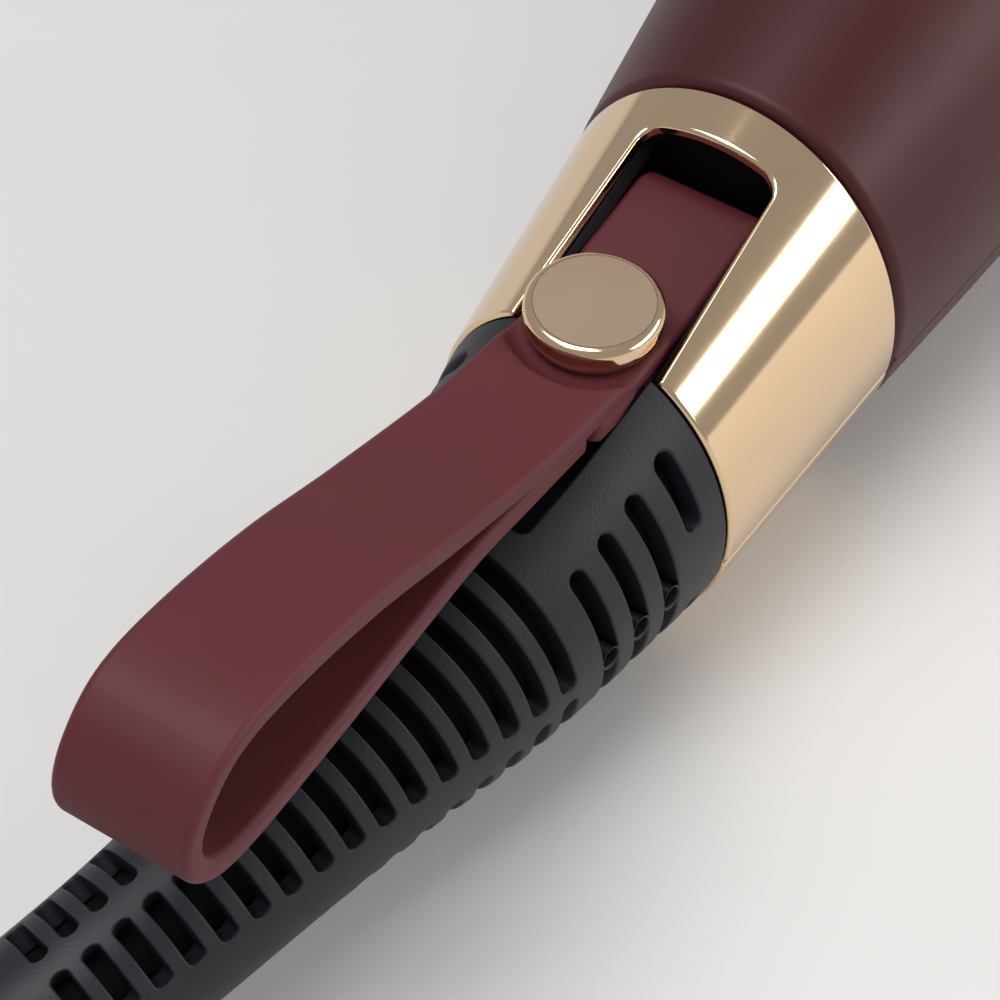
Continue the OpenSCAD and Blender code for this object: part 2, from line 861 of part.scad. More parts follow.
module clamp_blade() {
  color("#c9ccd1")
    difference() {
      intersection() {
        rod_x(blade_x, blade_x + blade_len, 2*(blade_r + blade_t));
        translate([blade_x - cut, 0, 0])
          rotate([90, 0, 90])
            linear_extrude(blade_len + 2*cut)
              polygon(concat([[0, 0]], [for (k = [0:6])
                let (a = -blade_arc/2 + blade_arc*k/6) 40*[sin(a), cos(a)]]));
      }
      rod_x(blade_x - cut, blade_x + blade_len + cut, 2*blade_r);
      for (x = rivet_x)
        translate([x, 0, 0])
          cylinder(d = 3, h = 60);
      // the blade's front corners are cut back
      for (s = [-1, 1])
        translate([blade_x + blade_len, s*(blade_r*sin(blade_arc/2) + 0.8), -1])
          rotate([0, 0, s*35])
            cube([20, 9, 60], center = true);
    }
}

rivet_x = [blade_x + 5, blade_x + 13];
lever_t = 3;

module clamp_lever() {
  color("#2b2c30")
    difference() {
      union() {
        // knuckles round the pin, with the spring between them
        translate([hinge_x, 0, hinge_z])
          rod_y(lever_w, 2*(hinge_d/2 + 1.6));
        // thumb arm
        translate([hinge_x, 0, hinge_z])
          rotate([0, lever_rise, 0])
            translate([-lever_len + 8, -lever_w/2, -0.2])
              cube([lever_len - 8, lever_w, lever_t]);
        translate([hinge_x, 0, hinge_z])
          rotate([0, lever_rise, 0])
            translate([-lever_len + 8, 0, -0.2])
              cylinder(d = lever_w + 4, h = lever_t);
        // tongue on the blade
        translate([hinge_x, -lever_w/2, barrel_d/2])
          cube([blade_x + 18 - hinge_x, lever_w, hinge_z - barrel_d/2 - 0.6]);
      }
      translate([hinge_x, 0, hinge_z])
        rod_y(60, hinge_d + 2*run_fit);
      // room for the spring
      translate([hinge_x, 0, hinge_z])
        rod_y(spring_w + 0.8, 8.2);
      rod_x(blade_x - 0.6, blade_x + 60, 2*(blade_r + blade_t));
      rod_x(hinge_x - 60, blade_x, 2*shield_r + 1.2);
      for (x = rivet_x)
        translate([x, 0, 0])
          cylinder(d = 3, h = 60);
    }
}

module clamp_rivets() {
  color("#a9abb0")
    for (x = rivet_x)
      translate([x, 0, 0]) {
        translate([0, 0, blade_r + 0.2])
          cylinder(d = 3, h = hinge_z - 0.6 - blade_r);
        translate([0, 0, hinge_z - 0.6])
          cylinder(d1 = 5.2, d2 = 4, h = 1);
      }
}

module clamp_pin() {
  color("#a9abb0")
    translate([hinge_x, 0, hinge_z]) {
      rod_y(lever_w + 0.8 + 2*ear_t, hinge_d);
      for (s = [-1, 1])
        translate([0, s*(lever_w/2 + 0.4 + ear_t + 0.4), 0])
          rod_y(0.8, 4.2);
    }
}

spring_w = 6;
wire_d = 1.1;

module clamp_spring() {
  coil_r = hinge_d/2 + 0.5 + wire_d/2;
  color("#8d8f94")
    translate([hinge_x, 0, hinge_z]) {
      for (k = [0:5])
        translate([0, -spring_w/2 + wire_d/2 + k*(spring_w - wire_d)/5, 0])
          rotate([90, 0, 0])
            rotate_extrude($fn = 16)
              translate([coil_r, 0])
                circle(d = wire_d + 0.1, $fn = 8);
      // one leg bears on the shield, the other on the lever
      translate([-10, -spring_w/2 + wire_d/2, -coil_r])
        rotate([0, 90, 0])
          cylinder(d = wire_d, h = 10, $fn = 8);
      rotate([0, lever_rise, 0])
        translate([-13, spring_w/2 - wire_d/2, -wire_d/2 - 0.25])
          rotate([0, 90, 0])
            cylinder(d = wire_d, h = 11.2, $fn = 8);
    }
}

// ---- safety stand, drawn straight from its pin down to the table ----
module at_stand() {
  translate([stand_x, 0, stand_z])
    rotate([0, rest_tilt, 0])
      children();
}
stand_drop = rest_h + stand_x*sin(rest_tilt) + stand_z*cos(rest_tilt);
neck_drop = 4;

module safety_stand() {
  color("#2b2c30")
    difference() {
      union() {
        at_stand() {
          rod_y(neck_w, 2*(hinge_d/2 + 1.2));
          // neck, plate and foot
          stand_slab(neck_w, 0, neck_drop + 1);
          stand_slab(stand_w, neck_drop, stand_drop - 1);
          translate([-stand_lean - 2, -stand_w/2, -stand_drop])
            cube([4, stand_w, 2]);
        }
      }
      translate([stand_x, 0, stand_z])
        rod_y(60, hinge_d + 2*run_fit);
    }
}

// Part of the leaning plate between two depths below the pin
module stand_slab(width, d0, d1) {
  translate([0, width/2, 0])
    rotate([90, 0, 0])
      linear_extrude(width)
        polygon([[-stand_lean*d0/stand_drop - stand_t/2, -d0],
                 [-stand_lean*d0/stand_drop + stand_t/2, -d0],
                 [-stand_lean*d1/stand_drop + stand_t/2, -d1],
                 [-stand_lean*d1/stand_drop - stand_t/2, -d1]]);
}

module stand_pin() {
  color("#a9abb0")
    translate([stand_x, 0, stand_z]) {
      rod_y(neck_w + 0.8 + 2*ear_t, hinge_d);
      for (s = [-1, 1])
        translate([0, s*(neck_w/2 + 0.4 + ear_t + 0.4), 0])
          rod_y(0.8, 4.2);
    }
}

// ---- controls: drawn in the panel's own frame, z = 0 on the handle's crest ----
panel_slope = atan((half_h(panel_at - panel_len/2) - half_h(panel_at + panel_len/2))/panel_len);
module on_panel() {
  translate([panel_at, 0, half_h(panel_at)])
    rotate([0, panel_slope, 0])
      children();
}
power_at = -0.32*panel_len;
down_at = 0.18*panel_len;
up_at = 0.37*panel_len;
light_at = [-0.14*panel_len, -0.06*panel_len, 0.02*panel_len];
button_gap = 0.3;
board_z = -9.8;
board_len = panel_len + 16;
board_x1 = panel_at + board_len/2;
wire_z = half_h(panel_at) + board_z - 2.3 - (board_len/2)*tan(panel_slope);

module control_panel() {
  color("#1f2023")
    on_panel()
      difference() {
        union() {
          plate(panel_len, panel_w, 3, -6, 0.8);
          plate(panel_len + 3, panel_w + 3, 3, -6, -4.8);
          plate(panel_len + 12, 6, 2, -6, -4.8);
          for (s = [-1, 1])
            translate([s*(panel_len/2 + 3.4), 0, board_z + 1.6])
              cylinder(d = 4.4, h = -4.8 - board_z - 1.6);
        }
        plate(panel_len - 2.4, panel_w - 2.4, 2, -8, -1.2);
        translate([power_at, 0, -3])
          cylinder(d = power_d + 2*button_gap, h = 6);
        for (x = [down_at, up_at])
          translate([x, 0, -3])
            cylinder(d = heat_d + 2*button_gap, h = 6);
        for (x = light_at)
          translate([x, 0, -3])
            cylinder(d = 1.8, h = 6, $fn = 16);
        for (s = [-1, 1])
          translate([s*(panel_len/2 + 3.4), 0, board_z])
            cylinder(d = 1.8, h = 4.6, $fn = 16);
      }
}

module push_button(x, d) {
  on_panel()
    translate([x, 0, 0]) {
      translate([0, 0, -2.4])
        cylinder(d = d, h = 4.2);
      translate([0, 0, -2.4])
        cylinder(d = d + 1.4, h = 1.15);
      translate([0, 0, -4.6])
        cylinder(d = 2.4, h = 2.4, $fn = 24);
    }
}

module power_button() {
  color("#d9bfa0")
    push_button(power_at, power_d);
}

module heat_up_button() {
  color("#3a3b40")
    push_button(up_at, heat_d);
}

module heat_down_button() {
  color("#3a3b40")
    push_button(down_at, heat_d);
}

module button_switches() {
  color("#8d8f94")
    on_panel()
      for (x = [power_at, down_at, up_at])
        translate([x, 0, board_z + 1.6]) {
          translate([-2.2, -2.2, 0])
            cube([4.4, 4.4, 2]);
          cylinder(d = 2, h = 2.6, $fn = 16);
        }
}

module indicator_lights() {
  color("#e8efe2")
    on_panel()
      for (x = light_at)
        translate([x, 0, 0]) {
          translate([0, 0, -2.2])
            cylinder(d = 1.8, h = 3.05, $fn = 16);
          translate([-1.1, -1.4, board_z + 1.6])
            cube([2.2, 2.8, -2.2 - board_z - 1.6]);
        }
}

module circuit_board() {
  color("#2f6b3c")
    on_panel()
      difference() {
        plate(board_len, 15, 1, board_z, board_z + 1.6);
        for (s = [-1, 1])
          translate([s*(panel_len/2 + 3.4), 0, board_z - 1])
            cylinder(d = 2, h = 4, $fn = 16);
      }
}

module board_components() {
  color("#303236")
    on_panel() {
      translate([-16, -5, board_z - 4])
        cube([9, 10, 4]);
      translate([-3, -4, board_z - 2])
        cube([8, 8, 2]);
      translate([12, -6, board_z - 3])
        cube([6, 12, 3]);
    }
}

module board_screws() {
  color("#8d8f94")
    on_panel()
      for (s = [-1, 1])
        translate([s*(panel_len/2 + 3.4), 0, 0]) {
          translate([0, 0, board_z - 1.3])
            cylinder(d = 3.4, h = 1.3, $fn = 24);
          translate([0, 0, board_z - 0.2])
            cylinder(d = 1.8, h = 4.4, $fn = 16);
        }
}

module supply_leads() {
  x0 = panel_at - board_len/2 + 1;
  z0 = half_h(panel_at) + board_z - 2.3 + (board_len/2 - 1)*tan(panel_slope);
  color("#3b5f8c")
    for (s = [-1, 1])
      tube(curve([[clamp_x + 10.3, s*1.6, 0], [clamp_x + 15, s*4.4, 1], [clamp_x + 25, s*5, 5],
                  [x0 - 6, s*4, z0 - 1], [x0, s*4, z0], [x0 + 5, s*4, z0]], 3), 2, 6);
}

place() handle_upper_shell();
place() handle_lower_shell();
place() shell_screws();
place() end_collar_upper();
place() end_collar_lower();
place() collar_insert();
place() strap_anchor_pin();
place() hang_strap();
place() strap_button();
place() strap_stud();
place() cord_guard();
place() cord_terminal();
place() cord_clamp();
place() cord_clamp_screws();
place() heat_shield();
place() barrel();
place() cool_tip();
place() heater_block_upper();
place() heater_block_lower();
place() heater_plate();
place() heater_insulation();
place() thermal_sensor();
place() heater_leads();
place() supply_leads();
place() clamp_blade();
place() clamp_lever();
place() clamp_rivets();
place() clamp_pin();
place() clamp_spring();
place() safety_stand();
place() stand_pin();
place() control_panel();
place() power_button();
place() heat_up_button();
place() heat_down_button();
place() button_switches();
place() indicator_lights();
place() circuit_board();
place() board_components();
place() board_screws();
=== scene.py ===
# %% [markdown]
# # A curling iron, seen from the tail
# The CAD model already has every piece at its real size.  This lesson dresses it: the burgundy
# handle, the pale gold collar with its notch, the hang strap with its round button and the
# slotted cord guard get meshes with rounded edges, and everything gets a material.

# %%
import json
import math

import bmesh
import bpy
import numpy as np
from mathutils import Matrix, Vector
from mathutils.geometry import delaunay_2d_cdt


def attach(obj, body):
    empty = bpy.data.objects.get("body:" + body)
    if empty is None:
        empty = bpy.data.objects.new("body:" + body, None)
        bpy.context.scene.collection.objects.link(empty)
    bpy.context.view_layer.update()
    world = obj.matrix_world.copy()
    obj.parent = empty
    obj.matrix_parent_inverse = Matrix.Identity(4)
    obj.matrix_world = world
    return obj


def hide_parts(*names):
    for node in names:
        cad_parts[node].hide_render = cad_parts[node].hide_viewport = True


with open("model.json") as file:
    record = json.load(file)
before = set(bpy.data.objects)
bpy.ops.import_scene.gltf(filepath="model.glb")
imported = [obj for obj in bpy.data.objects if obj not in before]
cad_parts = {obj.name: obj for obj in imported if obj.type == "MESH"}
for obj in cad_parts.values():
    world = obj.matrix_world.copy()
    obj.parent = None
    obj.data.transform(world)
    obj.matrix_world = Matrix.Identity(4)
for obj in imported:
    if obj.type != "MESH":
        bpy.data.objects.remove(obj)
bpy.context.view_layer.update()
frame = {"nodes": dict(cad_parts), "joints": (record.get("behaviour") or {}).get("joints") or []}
nodes = frame["nodes"]
joints = {j["name"]: j for j in frame["joints"]}

# %% [markdown]
# ## From the tool to the table
# The iron was designed lying straight, with X along its axis from the rear rim of the collar
# and Z towards the strap.  It rests tilted: barrel up by six degrees.  The strap's hinge is known
# in both places, so it ties the two together.  All sizes below are millimetres on the tool.

# %%
TILT = math.radians(6)
ANCHOR = (13.0, 9.1)                       # the strap's pin, (x, z) on the tool
anchor_world = joints["strap_swing"]["pos_m"]
COS, SIN = math.cos(TILT), math.sin(TILT)
SHIFT_X = anchor_world[0] - (ANCHOR[0]*COS - ANCHOR[1]*SIN)/1000
SHIFT_Z = anchor_world[2] - (ANCHOR[0]*SIN + ANCHOR[1]*COS)/1000


def to_world(x, y, z):
    """Millimetres on the tool to metres on the table."""
    return np.stack([(x*COS - z*SIN)/1000 + SHIFT_X, y/1000 + 0*x,
                     (x*SIN + z*COS)/1000 + SHIFT_Z], -1)


def turn(v):
    """A direction on the tool to the same direction on the table."""
    return Vector((v[0]*COS - v[2]*SIN, v[1], v[0]*SIN + v[2]*COS))


print("shift", SHIFT_X, SHIFT_Z)

# %% [markdown]
# ## The camera
# It looks down on the tail from above and a little from the left, close enough that only the
# handle's end, the collar, the strap and the guard fit in.  Its place and its three directions
# are given on the tool, so it leans with the tool when that rests on the table.

# %%
camera = bpy.data.objects.new("camera", bpy.data.cameras.new("camera"))
bpy.context.scene.collection.objects.link(camera)
bpy.context.scene.camera = camera
camera.data.lens = 101.3
camera.data.sensor_width = 36
camera.data.clip_start = 0.01
right = turn((0.5345, -0.8430, -0.0597))
up = turn((0.7292, 0.4243, 0.5369))
back = turn((-0.4273, -0.3305, 0.8415))
eye = to_world(np.array(-93.73), np.array(-64.43), np.array(173.81))
for i in range(3):
    for j, axis in enumerate((right, up, back)):
        camera.matrix_world[i][j] = axis[i]
    camera.matrix_world[i][3] = eye[i]
print("camera", [round(float(c), 4) for c in eye])

# %% [markdown]
# ## One helper for every moulded or pressed skin
# Most pieces of this tool are a wall of even thickness whose edges are slightly rounded.
# So a piece is drawn as a flat outline with holes, gets rounded rims all round, is filled with
# triangles, and is then bent into place by a function that knows the real surface.  The normals
# come from the same function, so highlights run smoothly over the curved faces.

# %%
OFF_RIM = 0.35                              # share of a cell that the grid stays off a rim
SLOPE_STEP = 0.01                           # millimetres over which a slope is measured


def arc(cx, cy, r, a0, a1, n):
    """Points on a circle from a0 to a1 degrees."""
    return [(cx + r*math.cos(math.radians(a0 + (a1 - a0)*k/n)),
             cy + r*math.sin(math.radians(a0 + (a1 - a0)*k/n))) for k in range(n + 1)]


def inward(loop):
    """For each point the direction into the material, long enough to keep the rim even."""
    e = np.roll(loop, -1, 0) - loop
    e /= np.linalg.norm(e, axis=1)[:, None]
    n = np.stack([-e[:, 1], e[:, 0]], 1)
    before = np.roll(n, 1, 0)
    return (n + before)/np.maximum(1 + (n*before).sum(1), 0.5)[:, None]


def inside(points, loop):
    """Which points lie in the closed loop."""
    hit = np.zeros(len(points), bool)
    a, b = loop, np.roll(loop, -1, 0)
    for (x0, y0), (x1, y1) in zip(a, b):
        if y0 == y1:
            continue
        cross = (points[:, 1] > y0) != (points[:, 1] > y1)
        hit ^= cross & (points[:, 0] < x0 + (points[:, 1] - y0)*(x1 - x0)/(y1 - y0))
    return hit


def link(name, mesh):
    """A new object for a mesh."""
    piece = bpy.data.objects.new(name, mesh)
    bpy.context.scene.collection.objects.link(piece)
    return piece


def rim_rings(loop, radius, thick, steps):
    """Rings that round one rim over, from the outer face to the inner one."""
    m = inward(loop)
    unit = m/np.linalg.norm(m, axis=1)[:, None]
    flat, height, normal = [], [], []
    turns = [math.pi/2*k/steps for k in range(steps + 1)]
    for side in (1, -1):
        for t in turns[::side]:
            flat.append(loop + m*radius[:, None]*(1 - math.sin(t)))
            drop = radius*(1 - math.cos(t))
            height.append(-drop if side == 1 else drop - thick)
            up_or_down = np.full(len(loop), side*math.cos(t))
            normal.append(np.column_stack([-unit*math.sin(t), up_or_down]))
    return flat, height, normal


def ring_faces(first, size, rings):
    """Four-cornered faces between rings of equal size, one after another."""
    faces = []
    for a in range(first, first + (rings - 1)*size, size):
        for i in range(size):
            j = (i + 1) % size
            faces.append((a + i, a + size + i, a + size + j, a + j))
    return faces


def grid_inside(loops, radii, cell):
    """A square grid of points in the material, a little way off its rims."""
    lo, hi = loops[0].min(0), loops[0].max(0)
    gx, gy = np.meshgrid(np.arange(lo[0] + cell/2, hi[0], cell),
                         np.arange(lo[1] + cell/2, hi[1], cell))
    grid = np.column_stack([gx.ravel(), gy.ravel()])
    keep = np.ones(len(grid), bool)
    for k, (loop, radius) in enumerate(zip(loops, radii)):
        hit = inside(grid, loop + inward(loop)*(radius[:, None] + OFF_RIM*cell))
        keep &= hit if k == 0 else ~hit
    return grid[keep]


def fill(points, sizes):
    """Triangles between the outline and the holes.  The points start with these loops, and
    sizes says how many points each loop has."""
    edges, at = [], 0
    for size in sizes:
        edges += [(at + i, at + (i + 1) % size) for i in range(size)]
        at += size
    out = delaunay_2d_cdt([Vector(p) for p in points], edges, [], 0, 1e-7)
    origin = [o[0] if o else -1 for o in out[3]]
    tris = np.array([[origin[i] for i in f] for f in out[2]])
    tris = tris[(tris >= 0).all(1)]
    middle_of = points[tris].mean(1)
    keep, at = np.ones(len(tris), bool), 0
    for k, size in enumerate(sizes):
        hit = inside(middle_of, points[at:at + size])
        keep &= hit if k == 0 else ~hit
        at += size
    tris = tris[keep]
    e1 = points[tris[:, 1]] - points[tris[:, 0]]
    e2 = points[tris[:, 2]] - points[tris[:, 0]]
    wrong = e1[:, 0]*e2[:, 1] - e1[:, 1]*e2[:, 0] < 0
    tris[wrong] = tris[wrong][:, ::-1]
    return tris


def bend(name, surface, flat, height, normal, faces):
    """The piece itself: the surface carries the drawing's points, and its slopes the normals."""
    x, y, h, d = flat[:, 0], flat[:, 1], height, SLOPE_STEP
    place = to_world(*surface(x, y, h))
    cx, cy, ch = [to_world(*surface(x + d*a, y + d*b, h + d*c))
                  - to_world(*surface(x - d*a, y - d*b, h - d*c))
                  for a, b, c in ((1, 0, 0), (0, 1, 0), (0, 0, 1))]
    turned = np.sign((np.cross(cx, cy)*ch).sum(1))
    n = (np.cross(cy, ch)*normal[:, :1] + np.cross(ch, cx)*normal[:, 1:2]
         + np.cross(cx, cy)*normal[:, 2:])
    n *= turned[:, None]
    n /= np.linalg.norm(n, axis=1)[:, None]
    if turned.mean() < 0:
        faces = [f[::-1] for f in faces]
    mesh = bpy.data.meshes.new(name)
    mesh.from_pydata(place.tolist(), [], faces)
    mesh.polygons.foreach_set("use_smooth", [True]*len(mesh.polygons))
    mesh.normals_split_custom_set_from_vertices(n.tolist())
    print(name, len(faces), "faces")
    return link(name, mesh)


# %% [markdown]
# A skin then takes four moves: round the rims, lay a grid of points between them, join all
# points into triangles, and bend the drawing into place.

# %%
def skin(name, outer, holes, surface, thick, edge, cell, steps):
    """A wall with rounded rims: outer runs anticlockwise, holes clockwise, surface(x, y, h)
    gives the place on the tool, and h is 0 on the outside and -thick on the inside.  The rim's
    radius, edge, is a number or a function of the loop."""
    loops = [np.asarray(loop, float) for loop in [outer] + holes]
    radii = [edge(loop) if callable(edge) else np.full(len(loop), edge) for loop in loops]
    flat, height, normal, faces, top_ids, low_ids = [], [], [], [], [], []
    first, rings = 0, 2*(steps + 1)
    for loop, radius in zip(loops, radii):
        size = len(loop)
        for kept, made in zip((flat, height, normal), rim_rings(loop, radius, thick, steps)):
            kept += made
        faces += ring_faces(first, size, rings)
        top_ids.append(first + np.arange(size))
        low_ids.append(first + (rings - 1)*size + np.arange(size))
        first += rings*size
    grid = grid_inside(loops, radii, cell)
    count = len(grid)
    flat += [grid, grid]
    height += [np.zeros(count), np.full(count, -thick)]
    normal += [np.tile((0, 0, 1.0), (count, 1)), np.tile((0, 0, -1.0), (count, 1))]
    flat, height, normal = [np.concatenate(rows) for rows in (flat, height, normal)]
    top_ids = np.concatenate(top_ids + [first + np.arange(count)])
    low_ids = np.concatenate(low_ids + [first + count + np.arange(count)])
    tris = fill(flat[top_ids], [len(loop) for loop in loops])
    faces += [tuple(int(i) for i in top_ids[t]) for t in tris]
    faces += [tuple(int(i) for i in low_ids[t][::-1]) for t in tris]
    return bend(name, surface, flat, height, normal, faces)


# %% [markdown]
# ## A helper for turned pieces
# A profile of (radius, height) points spins round an axis.  Corners sharper than SHARP stay crisp.

# %%
SHARP = math.radians(60)
ON_AXIS = 1e-6                              # a smaller radius than this is a point on the axis


def lathe(name, profile, place, sides):
    """Spins (r, h) points; place(x, y, h) puts them on the tool."""
    mesh = bpy.data.meshes.new(name)
    bm = bmesh.new()
    rows = []
    for r, h in profile:
        if r < ON_AXIS:
            centre = place(np.array(0.0), np.array(0.0), np.array(float(h)))
            rows.append([bm.verts.new(to_world(*centre))])
        else:
            a = np.arange(sides)*2*math.pi/sides
            ring = to_world(*place(r*np.cos(a), r*np.sin(a), h + 0*a))
            rows.append([bm.verts.new(p) for p in ring])
    for low_row, high_row in zip(rows, rows[1:]):
        for i in range(sides):
            j = (i + 1) % sides
            corners = [low_row[i % len(low_row)], low_row[j % len(low_row)],
                       high_row[j % len(high_row)], high_row[i % len(high_row)]]
            corners = [c for k, c in enumerate(corners) if c not in corners[:k]]
            if len(corners) > 2:
                bm.faces.new(corners)
    bmesh.ops.recalc_face_normals(bm, faces=bm.faces)
    for f in bm.faces:
        f.smooth = True
    bm.to_mesh(mesh)
    bm.free()
    mesh.set_sharp_from_angle(angle=SHARP)
    print(name, len(mesh.polygons), "faces")
    return link(name, mesh)


def rounded(points, r, n=4):
    """An open profile whose inner corners are rounded by r."""
    out = [points[0]]
    for a, b, c in zip(points, points[1:], points[2:]):
        p, q = np.subtract(a, b), np.subtract(c, b)
        lp, lq = np.hypot(*p), np.hypot(*q)
        cut = min(r, 0.45*lp, 0.45*lq)
        s, e = np.add(b, p/lp*cut), np.add(b, q/lq*cut)
        for k in range(n + 1):
            t = k/n
            out.append(tuple((1 - t)**2*s + 2*t*(1 - t)*np.array(b) + t*t*e))
    return out + [points[-1]]


# %% [markdown]
# ## The metal collar
# A real one is drawn from brass sheet and plated in pale gold.  Both halves are an oval sleeve
# that grows towards the handle, and the upper half has a notch for the strap, open to the rear.

# %%
COLLAR_LEN, COLLAR_WALL, LEAN = 21.3, 1.0, math.tan(math.radians(4.6))
REAR_W, REAR_H, FRONT_W, FRONT_H = 12.5, 15.9, 14.5, 18.1       # half sizes
NOTCH_LEN, NOTCH_HALF, NOTCH_R, NOTCH_FLARE = 19.0, 5.6, 1.4, 0.55
PARTING = -3.2
ROUND = 15.0                                # arc length per radian in the flat drawing


def collar_half_w(x):
    return REAR_W + (FRONT_W - REAR_W)*x/COLLAR_LEN


def collar_half_h(x):
    return REAR_H + (FRONT_H - REAR_H)*x/COLLAR_LEN


def on_collar(x, s, h):
    t = s/ROUND
    z = (collar_half_h(x) + h)*np.cos(t)
    return x + LEAN*z, (collar_half_w(x) + h)*np.sin(t), z


def seam_s(x, half_h, per_radian):
    """Where the parting line runs in the flat drawing."""
    return per_radian*math.acos(PARTING/float(half_h(x)))


def along(a, b, step):
    """Points from a up to, but without, b."""
    n = max(1, math.ceil(math.dist(a, b)/step))
    return [(a[0] + (b[0] - a[0])*k/n, a[1] + (b[1] - a[1])*k/n) for k in range(n)]


def path(points, step, closed=False):
    """An open line through the points, with extra points no further than step apart."""
    out = []
    for a, b in zip(points, points[1:] + (points[:1] if closed else [])):
        out += along(a, b, step)
    return out if closed else out + [points[-1]]


def drawn(line, per_radian, half_w):
    """Points given as (x, y) seen from above, in the flat drawing of an oval sleeve."""
    return [(x, per_radian*math.asin(y/float(half_w(x)))) for x, y in line]


def mirrored(left, step):
    """A line from the left rear corner round to the right one, given by its left half."""
    return path(left + [(x, -y) for x, y in left[::-1]], step)


def notch_line():
    """The notch in the flat drawing."""
    front = NOTCH_LEN - LEAN*collar_half_h(NOTCH_LEN)
    left = [(0.0, NOTCH_HALF + 0.8*NOTCH_FLARE)]
    left += arc(front - NOTCH_R, NOTCH_HALF - NOTCH_R, NOTCH_R, 90, 0, 8)
    return drawn(mirrored(left, 0.35), ROUND, collar_half_w)


SEAM = 0.04                                 # half the gap between two halves
BACK_GAP = 0.02                             # half the gap where one piece closes on itself
COLLAR_EDGE = 0.34
back_s = seam_s(0, collar_half_h, ROUND)
front_s = seam_s(COLLAR_LEN, collar_half_h, ROUND)
notch = notch_line()
upper = path([(0, notch[-1][1]), (0, SEAM - back_s), (COLLAR_LEN, SEAM - front_s),
              (COLLAR_LEN, front_s - SEAM), (0, back_s - SEAM), notch[0]], 0.5)[1:-1] + notch
all_round = 2*math.pi*ROUND
lower = path([(0, back_s + SEAM), (COLLAR_LEN, front_s + SEAM),
              (COLLAR_LEN, all_round - front_s - SEAM), (0, all_round - back_s - SEAM)],
             0.5, closed=True)
collar_upper = skin("collar_upper", upper, [], on_collar, COLLAR_WALL, COLLAR_EDGE,
                    cell=0.7, steps=5)
collar_lower = skin("collar_lower", lower, [], on_collar, COLLAR_WALL, COLLAR_EDGE,
                    cell=0.9, steps=5)
for piece, node in ((collar_upper, "end_collar_upper"), (collar_lower, "end_collar_lower")):
    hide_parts(node)
    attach(piece, "tool")

# %% [markdown]
# ## The insert under the notch
# A moulded liner stiffens the collar and holds the strap's pin in a deep pocket.  A solid block
# would look grey through the notch, so it is made as the real one is: a thin sleeve against the
# metal, and pocket walls that go straight down, wide enough for the tab's end to swing.

# %%
INSERT_FROM, INSERT_TO = 0.6, 19.6
INSERT_GAP, INSERT_WALL = 0.1, 1.3
POCKET_FLOOR, POCKET_FRONT, REAR_SILL = 3.6, 20.2, 10.6
POCKET_WIDER = 0.25                         # how far its sides lie outside the notch
POCKET_TOP = -0.6                           # where its walls start, below the insert's face


def on_insert(x, s, h):
    return on_collar(x, s, h - COLLAR_WALL - INSERT_GAP)


def pocket_line():
    """The pocket's outline in the flat drawing, a little outside the notch."""
    front = POCKET_FRONT - LEAN*collar_half_h(POCKET_FRONT)
    half = NOTCH_HALF + POCKET_WIDER
    left = [(INSERT_FROM, half)] + arc(front - 1, half - 1, 1, 90, 0, 6)
    return drawn(mirrored(left, 0.5), ROUND, collar_half_w)


def closed_round(line, start, end, half_round, step):
    """A whole sleeve in the flat drawing, from start to end, with the line cut out of its rear."""
    edge_s = half_round - BACK_GAP
    return path([(start, line[-1][1]), (start, -edge_s), (end, -edge_s),
                 (end, edge_s), (start, edge_s), line[0]], step)


pocket = pocket_line()
insert_flat = closed_round(pocket, INSERT_FROM, INSERT_TO, math.pi*ROUND, 0.8)[1:-1] + pocket
insert = skin("collar_insert", insert_flat, [], on_insert, INSERT_WALL, edge=0.1, cell=1.4, steps=2)


def sunk_walls(name, line, surface, depth, floor_z, sill_z=None):
    """Walls straight down from a line on a surface to a level floor, and a sill at the rear."""
    bm = bmesh.new()
    x, s = np.array(line)[:, 0], np.array(line)[:, 1]
    px, py, pz = surface(x, s, depth + 0*x)
    high = [bm.verts.new(p) for p in to_world(px, py, pz)]
    low = [bm.verts.new(p) for p in to_world(px, py, 0*pz + floor_z)]
    for i in range(len(high) - 1):
        bm.faces.new((high[i], high[i + 1], low[i + 1], low[i]))
    bm.faces.new(low)
    if sill_z is not None:
        ends = to_world(px[[0, -1]], py[[0, -1]], np.full(2, sill_z))
        sill = [bm.verts.new(p) for p in ends]
        bm.faces.new((low[0], sill[0], sill[1], low[-1]))
    mesh = bpy.data.meshes.new(name)
    bm.to_mesh(mesh)
    bm.free()
    print(name, len(mesh.polygons), "faces")
    return link(name, mesh)


walls = sunk_walls("insert_pocket", pocket, on_insert, POCKET_TOP, POCKET_FLOOR, REAR_SILL)
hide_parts("collar_insert")
for piece in (insert, walls):
    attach(piece, "tool")

# %% [markdown]
# ## The hang strap
# It is one moulded band of silicone.  It starts under the notch, turns round in front of the pin,
# runs back over the guard, loops, and comes home below itself, where the layers are bonded.
# Following the middle line of the band and giving it width makes every layer at once, and the
# rounded rims leave the fine grooves between the layers.

# %%
STRAP_W, STRAP_T = 10.1, 1.9
EYE = 2.5                                   # middle of the tab's end to the middle of the band
TAB_END = (15.6, 9.9)                       # middle of the tab's round end, in front of the pin
TAB_SLOPE = 0.343
TAB_RISE = 0.98                             # the tab's underside to the middle of its lower layer


def smooth_line(points, n):
    """A curve through the points, n steps to a span."""
    p = np.array([points[0]] + points + [points[-1]], float)
    out = []
    for a, b, c, d in zip(p, p[1:], p[2:], p[3:]):
        for k in range(n):
            t = k/n
            out.append((2*b + (c - a)*t + (2*a - 5*b + 4*c - d)*t*t
                        + (3*b - a - 3*c + d)*t**3)/2)
    return np.array(out + [p[-1]])


